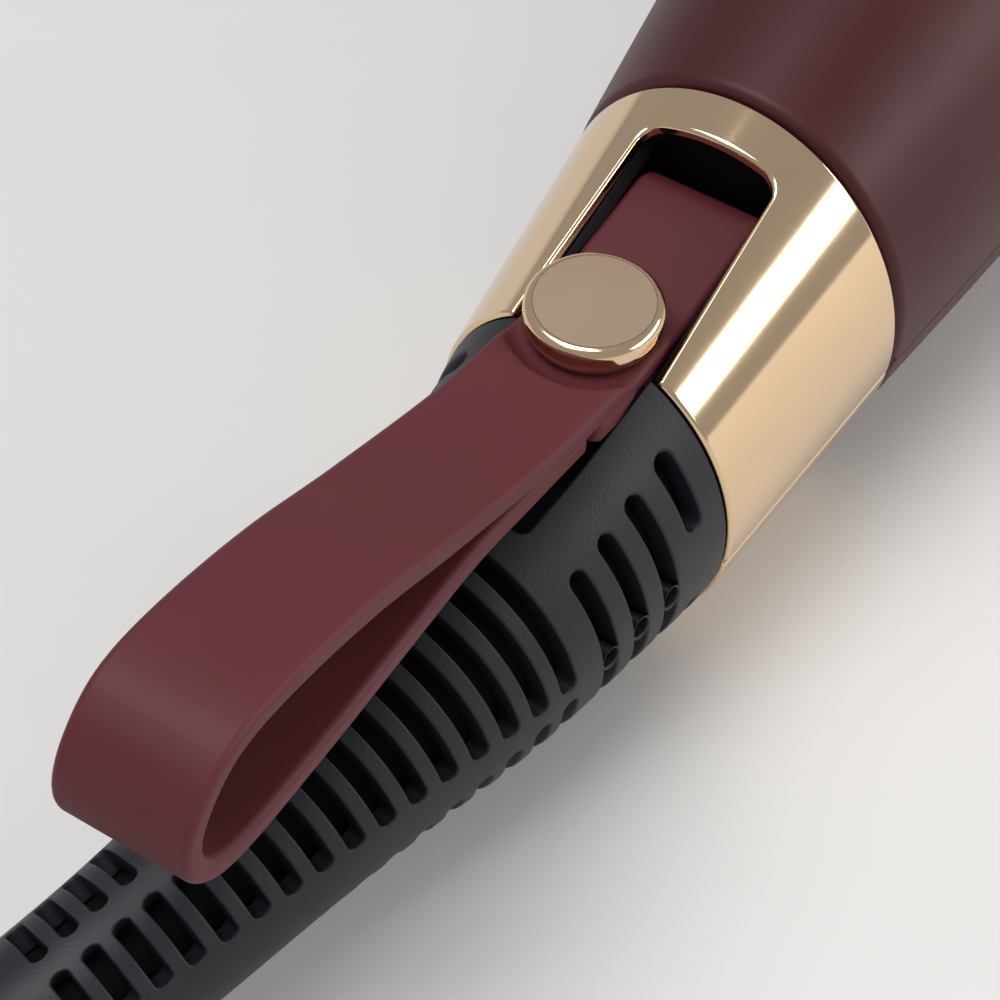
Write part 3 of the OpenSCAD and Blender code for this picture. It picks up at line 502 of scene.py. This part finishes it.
def tab_z(x):
    return TAB_END[1] - EYE - STRAP_T/2 + (TAB_END[0] - x)*TAB_SLOPE


tab = [(x, tab_z(x) + TAB_RISE) for x in (-5.3, -2, 2, 6, 10, 12.5)]
eye_round = [(TAB_END[0] + EYE*math.cos(math.radians(a)),
              TAB_END[1] + EYE*math.sin(math.radians(a)))
             for a in (-108, -85, -55, -25, 5, 35, 62, 88)]
loop = [(10, 12.55), (5, 12.95), (-2, 15.35), (-10, 18.1), (-21.5, 23.7), (-30, 28.2),
        (-38, 31.3), (-43.5, 32.25), (-47.2, 30.5), (-49.05, 27.6), (-48.3, 24.6), (-45, 22.6),
        (-36, 21.2), (-28, 20.4), (-20, 19.5), (-13, 17.5), (-6.4, 15.5)]
band_line = smooth_line(tab + eye_round + loop, 12)
steps_along = np.linalg.norm(np.diff(band_line, axis=0), axis=1)
band_s = np.concatenate([[0], np.cumsum(steps_along)])
band_len = band_s[-1]
band_dir = np.gradient(band_line, band_s, axis=0)
band_dir /= np.linalg.norm(band_dir, axis=1)[:, None]
print("strap band", round(float(band_len), 1), "mm long")

BUTTON_X, BUTTON_Z, BUTTON_LEAN = 2.3, ANCHOR[1] + 5.7, math.radians(7.4)
BUTTON_R, BUTTON_T = 5.0, 2.8
SEAT_WIDER, SEAT_FADE = 0.2, 1.1            # the pressed seat's rim, and how fast it fades out
SEAT_SOFT = 0.02                            # rounds the line where the seat starts


def on_button(x, y, h):
    """Places a point given from the button's seat."""
    return (BUTTON_X + x*math.cos(BUTTON_LEAN) + h*math.sin(BUTTON_LEAN), y,
            BUTTON_Z - x*math.sin(BUTTON_LEAN) + h*math.cos(BUTTON_LEAN))


def soft_step(t):
    t = np.clip(t, 0, 1)
    return t*t*(3 - 2*t)


def on_band(length, y, h):
    x = np.interp(length, band_s, band_line[:, 0])
    z = np.interp(length, band_s, band_line[:, 1])
    dx = np.interp(length, band_s, band_dir[:, 0])
    dz = np.interp(length, band_s, band_dir[:, 1])
    out = h + STRAP_T/2
    x, z = x + dz*out, z - dx*out
    # the button's seat is pressed a little into the band
    px, pz = x - dz*h - BUTTON_X, z + dx*h - BUTTON_Z
    a = px*math.cos(BUTTON_LEAN) - pz*math.sin(BUTTON_LEAN)
    w = px*math.sin(BUTTON_LEAN) + pz*math.cos(BUTTON_LEAN)
    rise = np.clip((np.hypot(a, y) - BUTTON_R - SEAT_WIDER)/SEAT_FADE, 0, None)
    over = w - 0.75*rise**2
    over = (over + np.sqrt(over**2 + SEAT_SOFT))/2*np.clip(1 + h/STRAP_T, 0, 1)
    return x - over*math.sin(BUTTON_LEAN), y, z - over*math.cos(BUTTON_LEAN)


half, nick = STRAP_W/2, 0.5                 # nick: how far the band's corners are cut
flat_band = path([(0, -half + nick), (nick, -half), (band_len - nick, -half),
                  (band_len, -half + nick), (band_len, half - nick), (band_len - nick, half),
                  (nick, half), (0, half - nick)], 0.45, closed=True)
hang_strap = skin("hang_strap", flat_band, [], on_band, STRAP_T, edge=0.62, cell=0.5, steps=5)
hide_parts("hang_strap")
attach(hang_strap, "strap")

# %% [markdown]
# ## The strap's button
# A turned metal disc: its face is satin, its rim is a small polished round, and its side draws
# in a little towards the strap.

# %%
BUTTON_SIDES = 128
button_rim = rounded([(0, BUTTON_T), (BUTTON_R - 0.42, BUTTON_T), (BUTTON_R, BUTTON_T - 0.45),
                      (BUTTON_R, 1.2), (BUTTON_R - 0.5, 0.02), (BUTTON_R - 1.2, 0.0)], 0.34, 6)
button_profile = [button_rim[0], (BUTTON_R - 0.62, BUTTON_T)] + button_rim[1:]
strap_button = lathe("strap_button", button_profile, on_button, BUTTON_SIDES)
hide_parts("strap_button")
seat_profile = rounded([(4.6, -2.6), (4.3, -0.3), (4.3, 0), (0, 0)], 0.25)
seat = lathe("strap_seat", seat_profile, on_button, 64)
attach(strap_button, "strap")
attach(seat, "strap")

# %% [markdown]
# ## The cord guard
# A sleeve of hard black rubber that tapers to a round tail along an arc to the side.  Four short
# slots, then sixteen long ones, are repeated in each quarter, and leave ribs between the spines.
# In the flat drawing it is a rectangle with slots, so cutting is easy; bending it into the
# tapered, curved oval comes last.  The last three short slots run past the middle of the side,
# so there each meets, and overlaps, the end of its mirror from below.

# %%
GUARD_LEN, GUARD_WALL, TAIL_R = 66.0, 1.9, 6.0
GUARD_HALF_W, GUARD_HALF_H = 12.2, 15.6
GUARD_ROUND = 10.0
RIM_LEAN = 7.0                              # length over which the rim leans with the collar
BEND_R = GUARD_LEN/math.radians(19.4)
TAPER_AT = [-0.1, 0, 0.14, 0.28, 0.42, 0.56, 0.71, 0.85, 1]
TAPER = [1.03, 1, 0.79, 0.58, 0.32, 0.145, 0.065, 0.03, 0]
taper_fine = smooth_line(list(zip(TAPER_AT, TAPER)), 8)


def guard_half(u, widest):
    share = np.interp(u/GUARD_LEN, taper_fine[:, 0], taper_fine[:, 1])
    return TAIL_R + (widest - TAIL_R)*share


def on_guard(u, s, h):
    t, b = s/GUARD_ROUND, np.maximum(u, 0)/BEND_R
    w, high = guard_half(u, GUARD_HALF_W) + h, guard_half(u, GUARD_HALF_H) + h
    z = high*np.cos(t)
    x = (-BEND_R*np.sin(b) - np.minimum(u, 0) + np.sin(b)*w*np.sin(t)
         + LEAN*z*soft_step(1 - u/RIM_LEAN))
    return x, BEND_R*(1 - np.cos(b)) + np.cos(b)*w*np.sin(t), z


def guard_s(u, azimuth):
    """Place round the sleeve of an angle from the strap side."""
    a = math.radians(azimuth)
    return GUARD_ROUND*math.atan2(float(guard_half(u, GUARD_HALF_H))*math.sin(a),
                                  float(guard_half(u, GUARD_HALF_W))*math.cos(a))


SLOT_R, SLOT_MORE = 0.7, 0.2                # half width, and what is added to each end
SHORT_FROM, SHORT_PITCH, LONG_FROM, LONG_PITCH = 2.9, 3.05, 16.0, 2.55
# each slot: its place along the sleeve, and the angles from the strap side where it starts and ends
short_slots = [(SHORT_FROM + SHORT_PITCH*i, 37 + 1.5*i, 67 if i == 0 else 94) for i in range(4)]
long_slots = [(LONG_FROM + LONG_PITCH*i, 8, min(84, 100 - 0.94*(LONG_FROM + LONG_PITCH*i)))
              for i in range(16)]


def slot_ring(u, s0, s1):
    """A round-ended slot in the flat drawing, clockwise."""
    ring = arc(u, s1 - SLOT_R, SLOT_R, 0, 180, 10) + arc(u, s0 + SLOT_R, SLOT_R, 180, 360, 10)
    return path(ring, 0.5, closed=True)[::-1]


around = math.pi*GUARD_ROUND
slots = []
for u, low_a, high_a in short_slots + long_slots:
    s0, s1 = guard_s(u, low_a) - SLOT_MORE, guard_s(u, high_a) + SLOT_MORE
    for a, b in ((s0, s1), (-s1, -s0), (around - s1, around - s0), (s0 - around, s1 - around)):
        if max(abs(a), abs(b)) <= around:
            slots.append(slot_ring(u, a, b))
print("slots", len(slots))

# %% [markdown]
# The strap lies in a groove at the rear of the sleeve, open to the collar and narrower towards
# its round front.

# %%
GUARD_FROM = 0.1
GROOVE_LEN, GROOVE_REAR, GROOVE_FRONT, GROOVE_R = 12.0, 5.45, 4.3, 1.0      # half widths


def groove_line():
    """The strap's groove, from one rear corner round to the other."""
    side = [(GUARD_FROM, GROOVE_REAR), (GROOVE_LEN, GROOVE_FRONT)]
    side += arc(GROOVE_LEN, GROOVE_FRONT - GROOVE_R, GROOVE_R, 90, 0, 6)[1:]
    return drawn(mirrored(side, 0.5), GUARD_ROUND, lambda u: guard_half(u, GUARD_HALF_W))


groove = groove_line()
sleeve = closed_round(groove, GUARD_FROM, GUARD_LEN, around, 0.55)[1:-1] + groove
guard = skin("cord_guard", sleeve, slots, on_guard, GUARD_WALL, edge=0.18, cell=0.75, steps=3)
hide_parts("cord_guard")
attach(guard, "tool")

# %% [markdown]
# ## The sleeve inside the guard
# A thin sleeve behind the slots keeps light from falling through, and its near-black colour,
# darker than the guard's, is painted shade that makes the slots look like dark hollows.  It could
# be a scaled copy of the outside, but a wall of even depth needs the same bending function with a
# larger depth, and that keeps it just under the ribs everywhere.

# %%
LINER_FROM, LINER_TO, LINER_GAP = 0.6, 56.0, 0.1
around_groove = [(u, s) for u, s in groove if u > LINER_FROM + 0.1]
liner_flat = closed_round(around_groove, LINER_FROM, LINER_TO, around, 1.2)[:-1] + around_groove


def on_liner(u, s, h):
    return on_guard(u, s, h - GUARD_WALL - LINER_GAP)


liner = skin("guard_shade_liner", liner_flat, [], on_liner, thick=0.5, edge=0.1, cell=1.6, steps=2)
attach(liner, "tool")

# %% [markdown]
# The groove gets walls and a floor, and the tail a ring that closes it round the cord's bore.

# %%
GROOVE_TOP, GROOVE_FLOOR = -1.3, 10.8
groove_floor = sunk_walls("guard_groove", groove, on_guard, GROOVE_TOP, GROOVE_FLOOR)


def at_tail(x, y, h):
    """Places a point given from the end of the guard's arc, h along it."""
    b = (GUARD_LEN + h)/BEND_R
    return (-BEND_R*np.sin(b) + np.sin(b)*y, BEND_R*(1 - np.cos(b)) + np.cos(b)*y, x)


RING_OUT, RING_BORE, RING_DEPTH = 4.6, 3.45, 10
ring_profile = rounded([(RING_OUT, -RING_DEPTH), (RING_BORE, -RING_DEPTH), (RING_BORE, -0.02),
                        (RING_OUT, -0.02)], 0.4)
tail_ring = lathe("guard_tail_ring", ring_profile, at_tail, 64)
for piece in (groove_floor, tail_ring):
    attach(piece, "tool")

# %% [markdown]
# ## The handle
# Two moulded halves with a soft-touch skin.  Their rear lip is well rounded where it meets the
# metal, and the upper half has a cut-out for the control panel.

# %%
HANDLE_LEN, HANDLE_WALL, HANDLE_ROUND = 150.0, 2.0, 18.0
HANDLE_END_R, GRIP_W, GRIP_H = 17.6, 19.2, 22.8                 # half sizes
WIDEST_AT, FLARE = 75.0, 0.13
HANDLE_LEAN = 30.0                          # length over which the rear rim's lean fades out


def ease(t, p0, p1, m0):
    """A curve from p0 with slope m0 that levels out at p1."""
    return (2*t**3 - 3*t**2 + 1)*p0 + (t**3 - 2*t**2 + t)*m0 + (3*t**2 - 2*t**3)*p1


def handle_half(x, start, widest):
    t = (x - COLLAR_LEN)/(WIDEST_AT - COLLAR_LEN)
    q = np.clip((x - WIDEST_AT)/(HANDLE_LEN - WIDEST_AT), 0, 1)
    return np.where(x < WIDEST_AT, ease(t, start, widest, FLARE*(WIDEST_AT - COLLAR_LEN)),
                    ease(q, widest, HANDLE_END_R, 0))


def handle_half_w(x):
    return handle_half(x, FRONT_W, GRIP_W)


def handle_half_h(x):
    return handle_half(x, FRONT_H, GRIP_H)


def on_handle(x, s, h):
    t = s/HANDLE_ROUND
    x = x + LEAN*handle_half_h(x)*np.cos(t)*soft_step(1 - (x - COLLAR_LEN)/HANDLE_LEAN)
    return x, (handle_half_w(x) + h)*np.sin(t), (handle_half_h(x) + h)*np.cos(t)


REAR = COLLAR_LEN + 0.25
xs = np.linspace(REAR, HANDLE_LEN, 120)
seam = [(x, seam_s(x, handle_half_h, HANDLE_ROUND)) for x in xs]
PANEL_AT, PANEL_LEN, PANEL_W, PANEL_R = 90.0, 44.2, 12.2, 3
SCREWS_AT, SCREW_HOLE_R = (48, 128), 2.9
SHELL_EDGE, LIP_MORE = 0.22, 0.68           # rim radius, and what the rear lip has beyond it


def panel_hole():
    a, b, r = PANEL_LEN/2 - PANEL_R, PANEL_W/2 - PANEL_R, PANEL_R
    ring = (arc(PANEL_AT + a, b, r, 90, 0, 8) + arc(PANEL_AT + a, -b, r, 0, -90, 8)
            + arc(PANEL_AT - a, -b, r, -90, -180, 8) + arc(PANEL_AT - a, b, r, 180, 90, 8))
    return drawn(path(ring, 0.8, closed=True), HANDLE_ROUND, handle_half_w)


def lip(loop):
    """Edge radius: large at the rear lip, small elsewhere."""
    return SHELL_EDGE + LIP_MORE*(loop[:, 0] < REAR + 0.01)


top_half = path([(REAR, SEAM - seam[0][1])] + [(x, SEAM - s) for x, s in seam[1:]]
                + [(x, s - SEAM) for x, s in seam[::-1]], 1.0, closed=True)
turn_round = 2*math.pi*HANDLE_ROUND
low_half = path([(x, s + SEAM) for x, s in seam]
                + [(x, turn_round - s - SEAM) for x, s in seam[::-1]], 1.0, closed=True)
shell_upper = skin("handle_upper", top_half, [panel_hole()], on_handle, HANDLE_WALL, lip,
                   cell=1.6, steps=5)


def screw_hole(x):
    """A round hole in the middle of the underside."""
    return [(a, math.pi*HANDLE_ROUND + b*HANDLE_ROUND/float(handle_half_w(x)))
            for a, b in arc(x, 0, SCREW_HOLE_R, 360, 0, 32)[:-1]]


shell_lower = skin("handle_lower", low_half, [screw_hole(x) for x in SCREWS_AT], on_handle,
                   HANDLE_WALL, lip, cell=1.9, steps=5)
for piece, node in ((shell_upper, "handle_upper_shell"), (shell_lower, "handle_lower_shell")):
    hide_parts(node)
    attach(piece, "tool")


# %% [markdown]
# ## The clamp's blade
# A strip of sheet rolled to the barrel's curve, held to the lever by two rivets.  Its front is
# rounded off and turned up a little, so that hair slides under it.  The same drawing-and-bending
# helper makes it: a strip with two round corners, then a curve just outside the barrel.

# %%
BARREL_R, BLADE_GAP, BLADE_T = 16.0, 0.4, 1.0
BLADE_FROM, BLADE_LEN, BLADE_ARC = 177.5, 132.0, 96.0
BLADE_LIFT, LIFT_LEN, BLADE_CORNER = 0.9, 5.0, 7.0
blade_out = BARREL_R + BLADE_GAP + BLADE_T


def on_blade(x, s, h):
    t = s/blade_out
    r = blade_out + h + BLADE_LIFT*soft_step((x - BLADE_FROM - BLADE_LEN + LIFT_LEN)/LIFT_LEN)
    return x, r*np.sin(t), r*np.cos(t)


blade_side = blade_out*math.radians(BLADE_ARC/2)
blade_end = BLADE_FROM + BLADE_LEN
corner_x, corner_s = blade_end - BLADE_CORNER, blade_side - BLADE_CORNER
blade_flat = path([(BLADE_FROM, -blade_side)] + arc(corner_x, -corner_s, BLADE_CORNER, -90, 0, 10)
                  + arc(corner_x, corner_s, BLADE_CORNER, 0, 90, 10)
                  + [(BLADE_FROM, blade_side)], 0.9, closed=True)
blade = skin("clamp_blade", blade_flat, [], on_blade, BLADE_T, edge=0.3, cell=1.5, steps=3)
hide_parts("clamp_blade")
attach(blade, "clamp")

# %% [markdown]
# ## Shared effects
# Every finish has mottling and grain, so each of the two is a node group: it is built once, and
# every material places it with its own values.  The groups only give a colour and a normal; the
# Principled shader stays in the material.

# %%
def group(name, inputs, outputs):
    """A new shader node group with named sockets, and its two end nodes."""
    tree = bpy.data.node_groups.new(name, "ShaderNodeTree")
    kinds = {float: "NodeSocketFloat", tuple: "NodeSocketColor", Vector: "NodeSocketVector"}
    for label, value in inputs.items():
        socket = tree.interface.new_socket(label, in_out="INPUT",
                                           socket_type=kinds[type(value)])
        socket.default_value = value
    for label, kind in outputs.items():
        tree.interface.new_socket(label, in_out="OUTPUT", socket_type=kinds[kind])
    return tree, tree.nodes.new("NodeGroupInput"), tree.nodes.new("NodeGroupOutput")


def node(tree, kind, **settings):
    """A new node; keys that name a socket set its value or link it."""
    made = tree.nodes.new(kind)
    for key, value in settings.items():
        if hasattr(made, key) and not key[0].isupper():
            setattr(made, key, value)
            continue
        socket = made.inputs[int(key[1:]) if key[0] == "_" else key.replace("_", " ")]
        if isinstance(value, bpy.types.NodeSocket):
            tree.links.new(value, socket)
        else:
            socket.default_value = value
    return made


def noise(tree, place, scale, detail, rough):
    """A noise value at a place."""
    made = node(tree, "ShaderNodeTexNoise", Vector=place, Scale=scale, Detail=detail,
                Roughness=rough)
    return made.outputs["Fac"]


NOISE_LOW, NOISE_HIGH = 0.3, 0.7            # the part of a noise's range that is used


def spread(tree, value, out_low, out_high):
    """Stretches the usual range of a noise to out_low..out_high."""
    made = node(tree, "ShaderNodeMapRange", Value=value)
    made.inputs["From Min"].default_value = NOISE_LOW
    made.inputs["From Max"].default_value = NOISE_HIGH
    for label, v in (("To Min", out_low), ("To Max", out_high)):
        if isinstance(v, bpy.types.NodeSocket):
            tree.links.new(v, made.inputs[label])
        else:
            made.inputs[label].default_value = v
    return made.outputs["Result"]


# %% [markdown]
# Mottled is a colour that wanders a little between a darker and a lighter one.  Grain is a fine
# moulded texture on top of a given normal.

# %%
mottled, start, end = group("Mottled", {"Colour": (0.5, 0.5, 0.5, 1.0), "Darker": 0.8,
                                        "Lighter": 1.15, "Size per metre": 60.0},
                            {"Colour": tuple})
place = node(mottled, "ShaderNodeTexCoord").outputs["Object"]
broad = noise(mottled, place, start.outputs["Size per metre"], 4.0, 0.6)
amount = spread(mottled, broad, start.outputs["Darker"], start.outputs["Lighter"])
scaled = node(mottled, "ShaderNodeVectorMath", operation="SCALE", _0=start.outputs["Colour"])
mottled.links.new(amount, scaled.inputs["Scale"])
mottled.links.new(scaled.outputs["Vector"], end.inputs["Colour"])

grain, start, end = group("Grain", {"Normal": Vector((0.0, 0.0, 1.0)), "Size per metre": 4000.0,
                                    "Depth": 0.00002, "Strength": 0.3}, {"Normal": Vector})
place = node(grain, "ShaderNodeTexCoord").outputs["Object"]
fine = noise(grain, place, start.outputs["Size per metre"], 2.0, 0.5)
bump = node(grain, "ShaderNodeBump", Height=fine, Strength=start.outputs["Strength"],
            Distance=start.outputs["Depth"], Normal=start.outputs["Normal"])
grain.links.new(bump.outputs["Normal"], end.inputs["Normal"])
print("groups", [g.name for g in bpy.data.node_groups])

# %% [markdown]
# ## The finishes
# Each one is a Principled shader with a mottled colour, its own roughness that changes a little
# over the surface, and fine grain.

# %%
def linear(red, green, blue):
    """A colour given as screen values from 0 to 255."""
    return tuple((c/255/12.92 if c <= 10 else ((c/255 + 0.055)/1.055)**2.4)
                 for c in (red, green, blue)) + (1.0,)


def finish(name, colour, rough, vary=(0.9, 1.08), metal=0.0, grain_size=3000.0,
           grain_depth=2e-5, grain_strength=0.25, rough_vary=0.05, size=60.0, specular=0.5,
           soft_edge=0.0, coat=0.0, clear=0.0):
    """A material: mottled colour, varied roughness and fine grain.  A soft_edge in metres makes
    sharp edges look rounded; coat is a clear lacquer, and clear lets light through."""
    made = bpy.data.materials.new(name)
    made.use_nodes = True
    tree = made.node_tree
    shader = tree.nodes["Principled BSDF"]
    for label, value in (("Metallic", metal), ("Specular IOR Level", specular),
                         ("Coat Weight", coat), ("Transmission Weight", clear)):
        shader.inputs[label].default_value = value
    tint = node(tree, "ShaderNodeGroup", node_tree=mottled, Colour=colour, Darker=vary[0],
                Lighter=vary[1])
    tint.inputs["Size per metre"].default_value = size
    tree.links.new(tint.outputs["Colour"], shader.inputs["Base Color"])
    under = (node(tree, "ShaderNodeBevel", samples=6, Radius=soft_edge) if soft_edge
             else node(tree, "ShaderNodeNewGeometry")).outputs["Normal"]
    surface = node(tree, "ShaderNodeGroup", node_tree=grain, Depth=grain_depth,
                   Strength=grain_strength, Normal=under)
    surface.inputs["Size per metre"].default_value = grain_size
    tree.links.new(surface.outputs["Normal"], shader.inputs["Normal"])
    place = node(tree, "ShaderNodeTexCoord").outputs["Object"]
    wander = noise(tree, place, 90.0, 3.0, 0.55)
    varied = spread(tree, wander, rough - rough_vary, rough + rough_vary)
    tree.links.new(varied, shader.inputs["Roughness"])
    return made


def wear(piece, material):
    """Gives a piece one material in place of what it had."""
    piece.data.materials.clear()
    piece.data.materials.append(material)


soft_touch = finish("soft_touch_burgundy", linear(66, 25, 30), 0.44, grain_size=6000.0,
                    grain_depth=6e-6, rough_vary=0.03, specular=0.26)
silicone = finish("silicone_burgundy", linear(88, 36, 42), 0.56, vary=(0.92, 1.06),
                  grain_size=5000.0, grain_depth=1e-5, specular=0.28)
guard_black = finish("guard_black", linear(27, 28, 35), 0.5, vary=(0.8, 1.2), grain_size=3800.0,
                     grain_depth=4e-5, grain_strength=0.6, specular=0.35)
# painted shade: the sleeve behind the guard's slots is near black, darker than the guard, so the
# slots look like dark hollows
painted_shade_liner = finish("painted_shade_liner", linear(12, 12, 14), 0.8, specular=0.1)
pale_gold = finish("polished_pale_gold", linear(226, 198, 162), 0.1, vary=(0.97, 1.02),
                   metal=1.0, grain_size=2500.0, grain_depth=3e-7, grain_strength=0.1,
                   rough_vary=0.02)
satin_gold = finish("satin_pale_gold", linear(232, 201, 172), 0.27, vary=(0.96, 1.03), metal=1.0,
                    grain_size=7000.0, grain_depth=2e-6, grain_strength=0.3, rough_vary=0.03)
for piece in (shell_upper, shell_lower):
    wear(piece, soft_touch)
for piece in (hang_strap, seat):
    wear(piece, silicone)
for piece in (guard, groove_floor, tail_ring):
    wear(piece, guard_black)
for piece in (collar_upper, collar_lower):
    wear(piece, pale_gold)
# the sleeve behind the slots wears the near-black painted shade
wear(liner, painted_shade_liner)
wear(strap_button, pale_gold)
strap_button.data.materials.append(satin_gold)
# the lathe makes the ring of faces round the centre first, and that ring is the satin face
for face in strap_button.data.polygons:
    face.material_index = int(face.index < BUTTON_SIDES)
print("dressed the tail in", [m.name for m in (soft_touch, silicone, guard_black, pale_gold)])

# %% [markdown]
# ## Finishes of the pieces that keep their CAD shape
# The barrel, the clamp's lever, the stand, the shield, the controls and most of what is inside
# keep the shape they have.  Their edges are sharp, though, and no moulded or machined edge is.
# Cutting new bevels would mean new meshes; the Bevel node rounds only the shading, which is
# enough at this size.  The coat that the barrel and the blade share goes without it.

# %%
by_slot = {
    "inner_plastic": finish("inner_plastic", linear(16, 16, 18), 0.65, specular=0.15,
                            soft_edge=0.0004),
    "shield_black": finish("shield_black", linear(30, 30, 33), 0.46, vary=(0.85, 1.15),
                           grain_size=2600.0, grain_depth=3e-5, grain_strength=0.45,
                           specular=0.4, soft_edge=0.0006),
    "barrel_coating": finish("ceramic_coating", linear(176, 152, 128), 0.3, vary=(0.95, 1.04),
                             metal=0.75, grain_size=2200.0, grain_depth=4e-7,
                             grain_strength=0.12, rough_vary=0.04, size=24.0, coat=0.25),
    "heater_aluminium": finish("cast_aluminium", linear(178, 180, 184), 0.42, metal=1.0,
                               vary=(0.85, 1.08), grain_size=1800.0, grain_depth=3e-5,
                               grain_strength=0.4, soft_edge=0.0004),
    "ceramic": finish("fired_ceramic", linear(226, 220, 204), 0.5, vary=(0.93, 1.03),
                      grain_depth=2e-5, soft_edge=0.0004),
    "amber_film": finish("amber_film", linear(196, 112, 34), 0.25, vary=(0.88, 1.1),
                         grain_depth=8e-6, soft_edge=0.0004, coat=0.4),
    "lead_red": finish("lead_red", linear(150, 34, 30), 0.5, grain_depth=6e-6,
                       soft_edge=0.0002),
    "lead_blue": finish("lead_blue", linear(46, 84, 134), 0.5, grain_depth=6e-6,
                        soft_edge=0.0002),
    "steel": finish("brushed_steel", linear(186, 188, 192), 0.26, vary=(0.9, 1.05), metal=1.0,
                    grain_size=2400.0, grain_depth=8e-7, grain_strength=0.15, rough_vary=0.06,
                    soft_edge=0.0003),
    "panel_black": finish("gloss_panel_black", linear(18, 18, 21), 0.16, vary=(0.92, 1.08),
                          grain_depth=2e-6, rough_vary=0.03, soft_edge=0.0004, coat=0.5),
    "key_grey": finish("key_grey", linear(66, 67, 72), 0.48, vary=(0.92, 1.06),
                       grain_depth=1.5e-5, soft_edge=0.0004),
    "light_lens": finish("light_lens", linear(228, 232, 236), 0.22, grain_depth=2e-6,
                         soft_edge=0.0002, clear=0.35),
    "board_green": finish("board_green", linear(30, 92, 58), 0.38, vary=(0.8, 1.18),
                          grain_size=900.0, grain_depth=2e-5, size=420.0, soft_edge=0.0004),
    "component_black": finish("component_black", linear(28, 28, 30), 0.5, grain_depth=1e-5,
                              soft_edge=0.0004),
    "button_metal": satin_gold,
    "handle_shell": soft_touch,
    "collar_metal": pale_gold,
    "strap_silicone": silicone,
    "guard_black": guard_black,
}
for name, piece in nodes.items():
    for k, old in enumerate(piece.data.materials):
        piece.data.materials[k] = by_slot[old.name.split(".")[0]]
for piece in (insert, walls):
    wear(piece, by_slot["inner_plastic"])
wear(blade, by_slot["barrel_coating"])
print("finished", len(nodes), "carried pieces with", len(by_slot), "finishes")

# %% [markdown]
# ## The studio
# A pale table, a square soft lamp above, a long low one at the side, and an even, pale sky, so
# that the polished metal has something to reflect.

# %%
LAMP_WATTS = 4.2
bpy.ops.mesh.primitive_plane_add(size=6, location=(0, 0, 0))
floor = bpy.context.object
floor.name = "table_top"
table = finish("pale_table", linear(222, 221, 219), 0.6, vary=(0.985, 1.0), grain_size=900.0,
               grain_depth=1e-5, grain_strength=0.05)
wear(floor, table)


def lamp(name, place, look_at, width, depth, tint=(1, 1, 1)):
    """A soft rectangular lamp; places are metres on the table."""
    data = bpy.data.lights.new(name, "AREA")
    data.shape = "RECTANGLE"
    data.size, data.size_y, data.energy, data.color = width, depth, LAMP_WATTS, tint
    made = bpy.data.objects.new(name, data)
    bpy.context.scene.collection.objects.link(made)
    made.location = place
    towards = Vector(look_at) - Vector(place)
    made.rotation_euler = towards.to_track_quat("-Z", "Y").to_euler()
    print("lamp", name, "at", place)


middle = (-0.12, 0.0, 0.03)
lamp("overhead", (-0.25, 0.15, 0.75), middle, 0.5, 0.5)
lamp("side", (0.25, -0.75, 0.35), middle, 0.9, 0.25, (1.0, 0.98, 0.95))
world = bpy.data.worlds.new("studio")
bpy.context.scene.world = world
world.use_nodes = True
sky = world.node_tree.nodes["Background"]
sky.inputs["Color"].default_value = (0.9, 0.9, 0.92, 1)
sky.inputs["Strength"].default_value = 0.45
bpy.context.scene.view_settings.view_transform = "Standard"
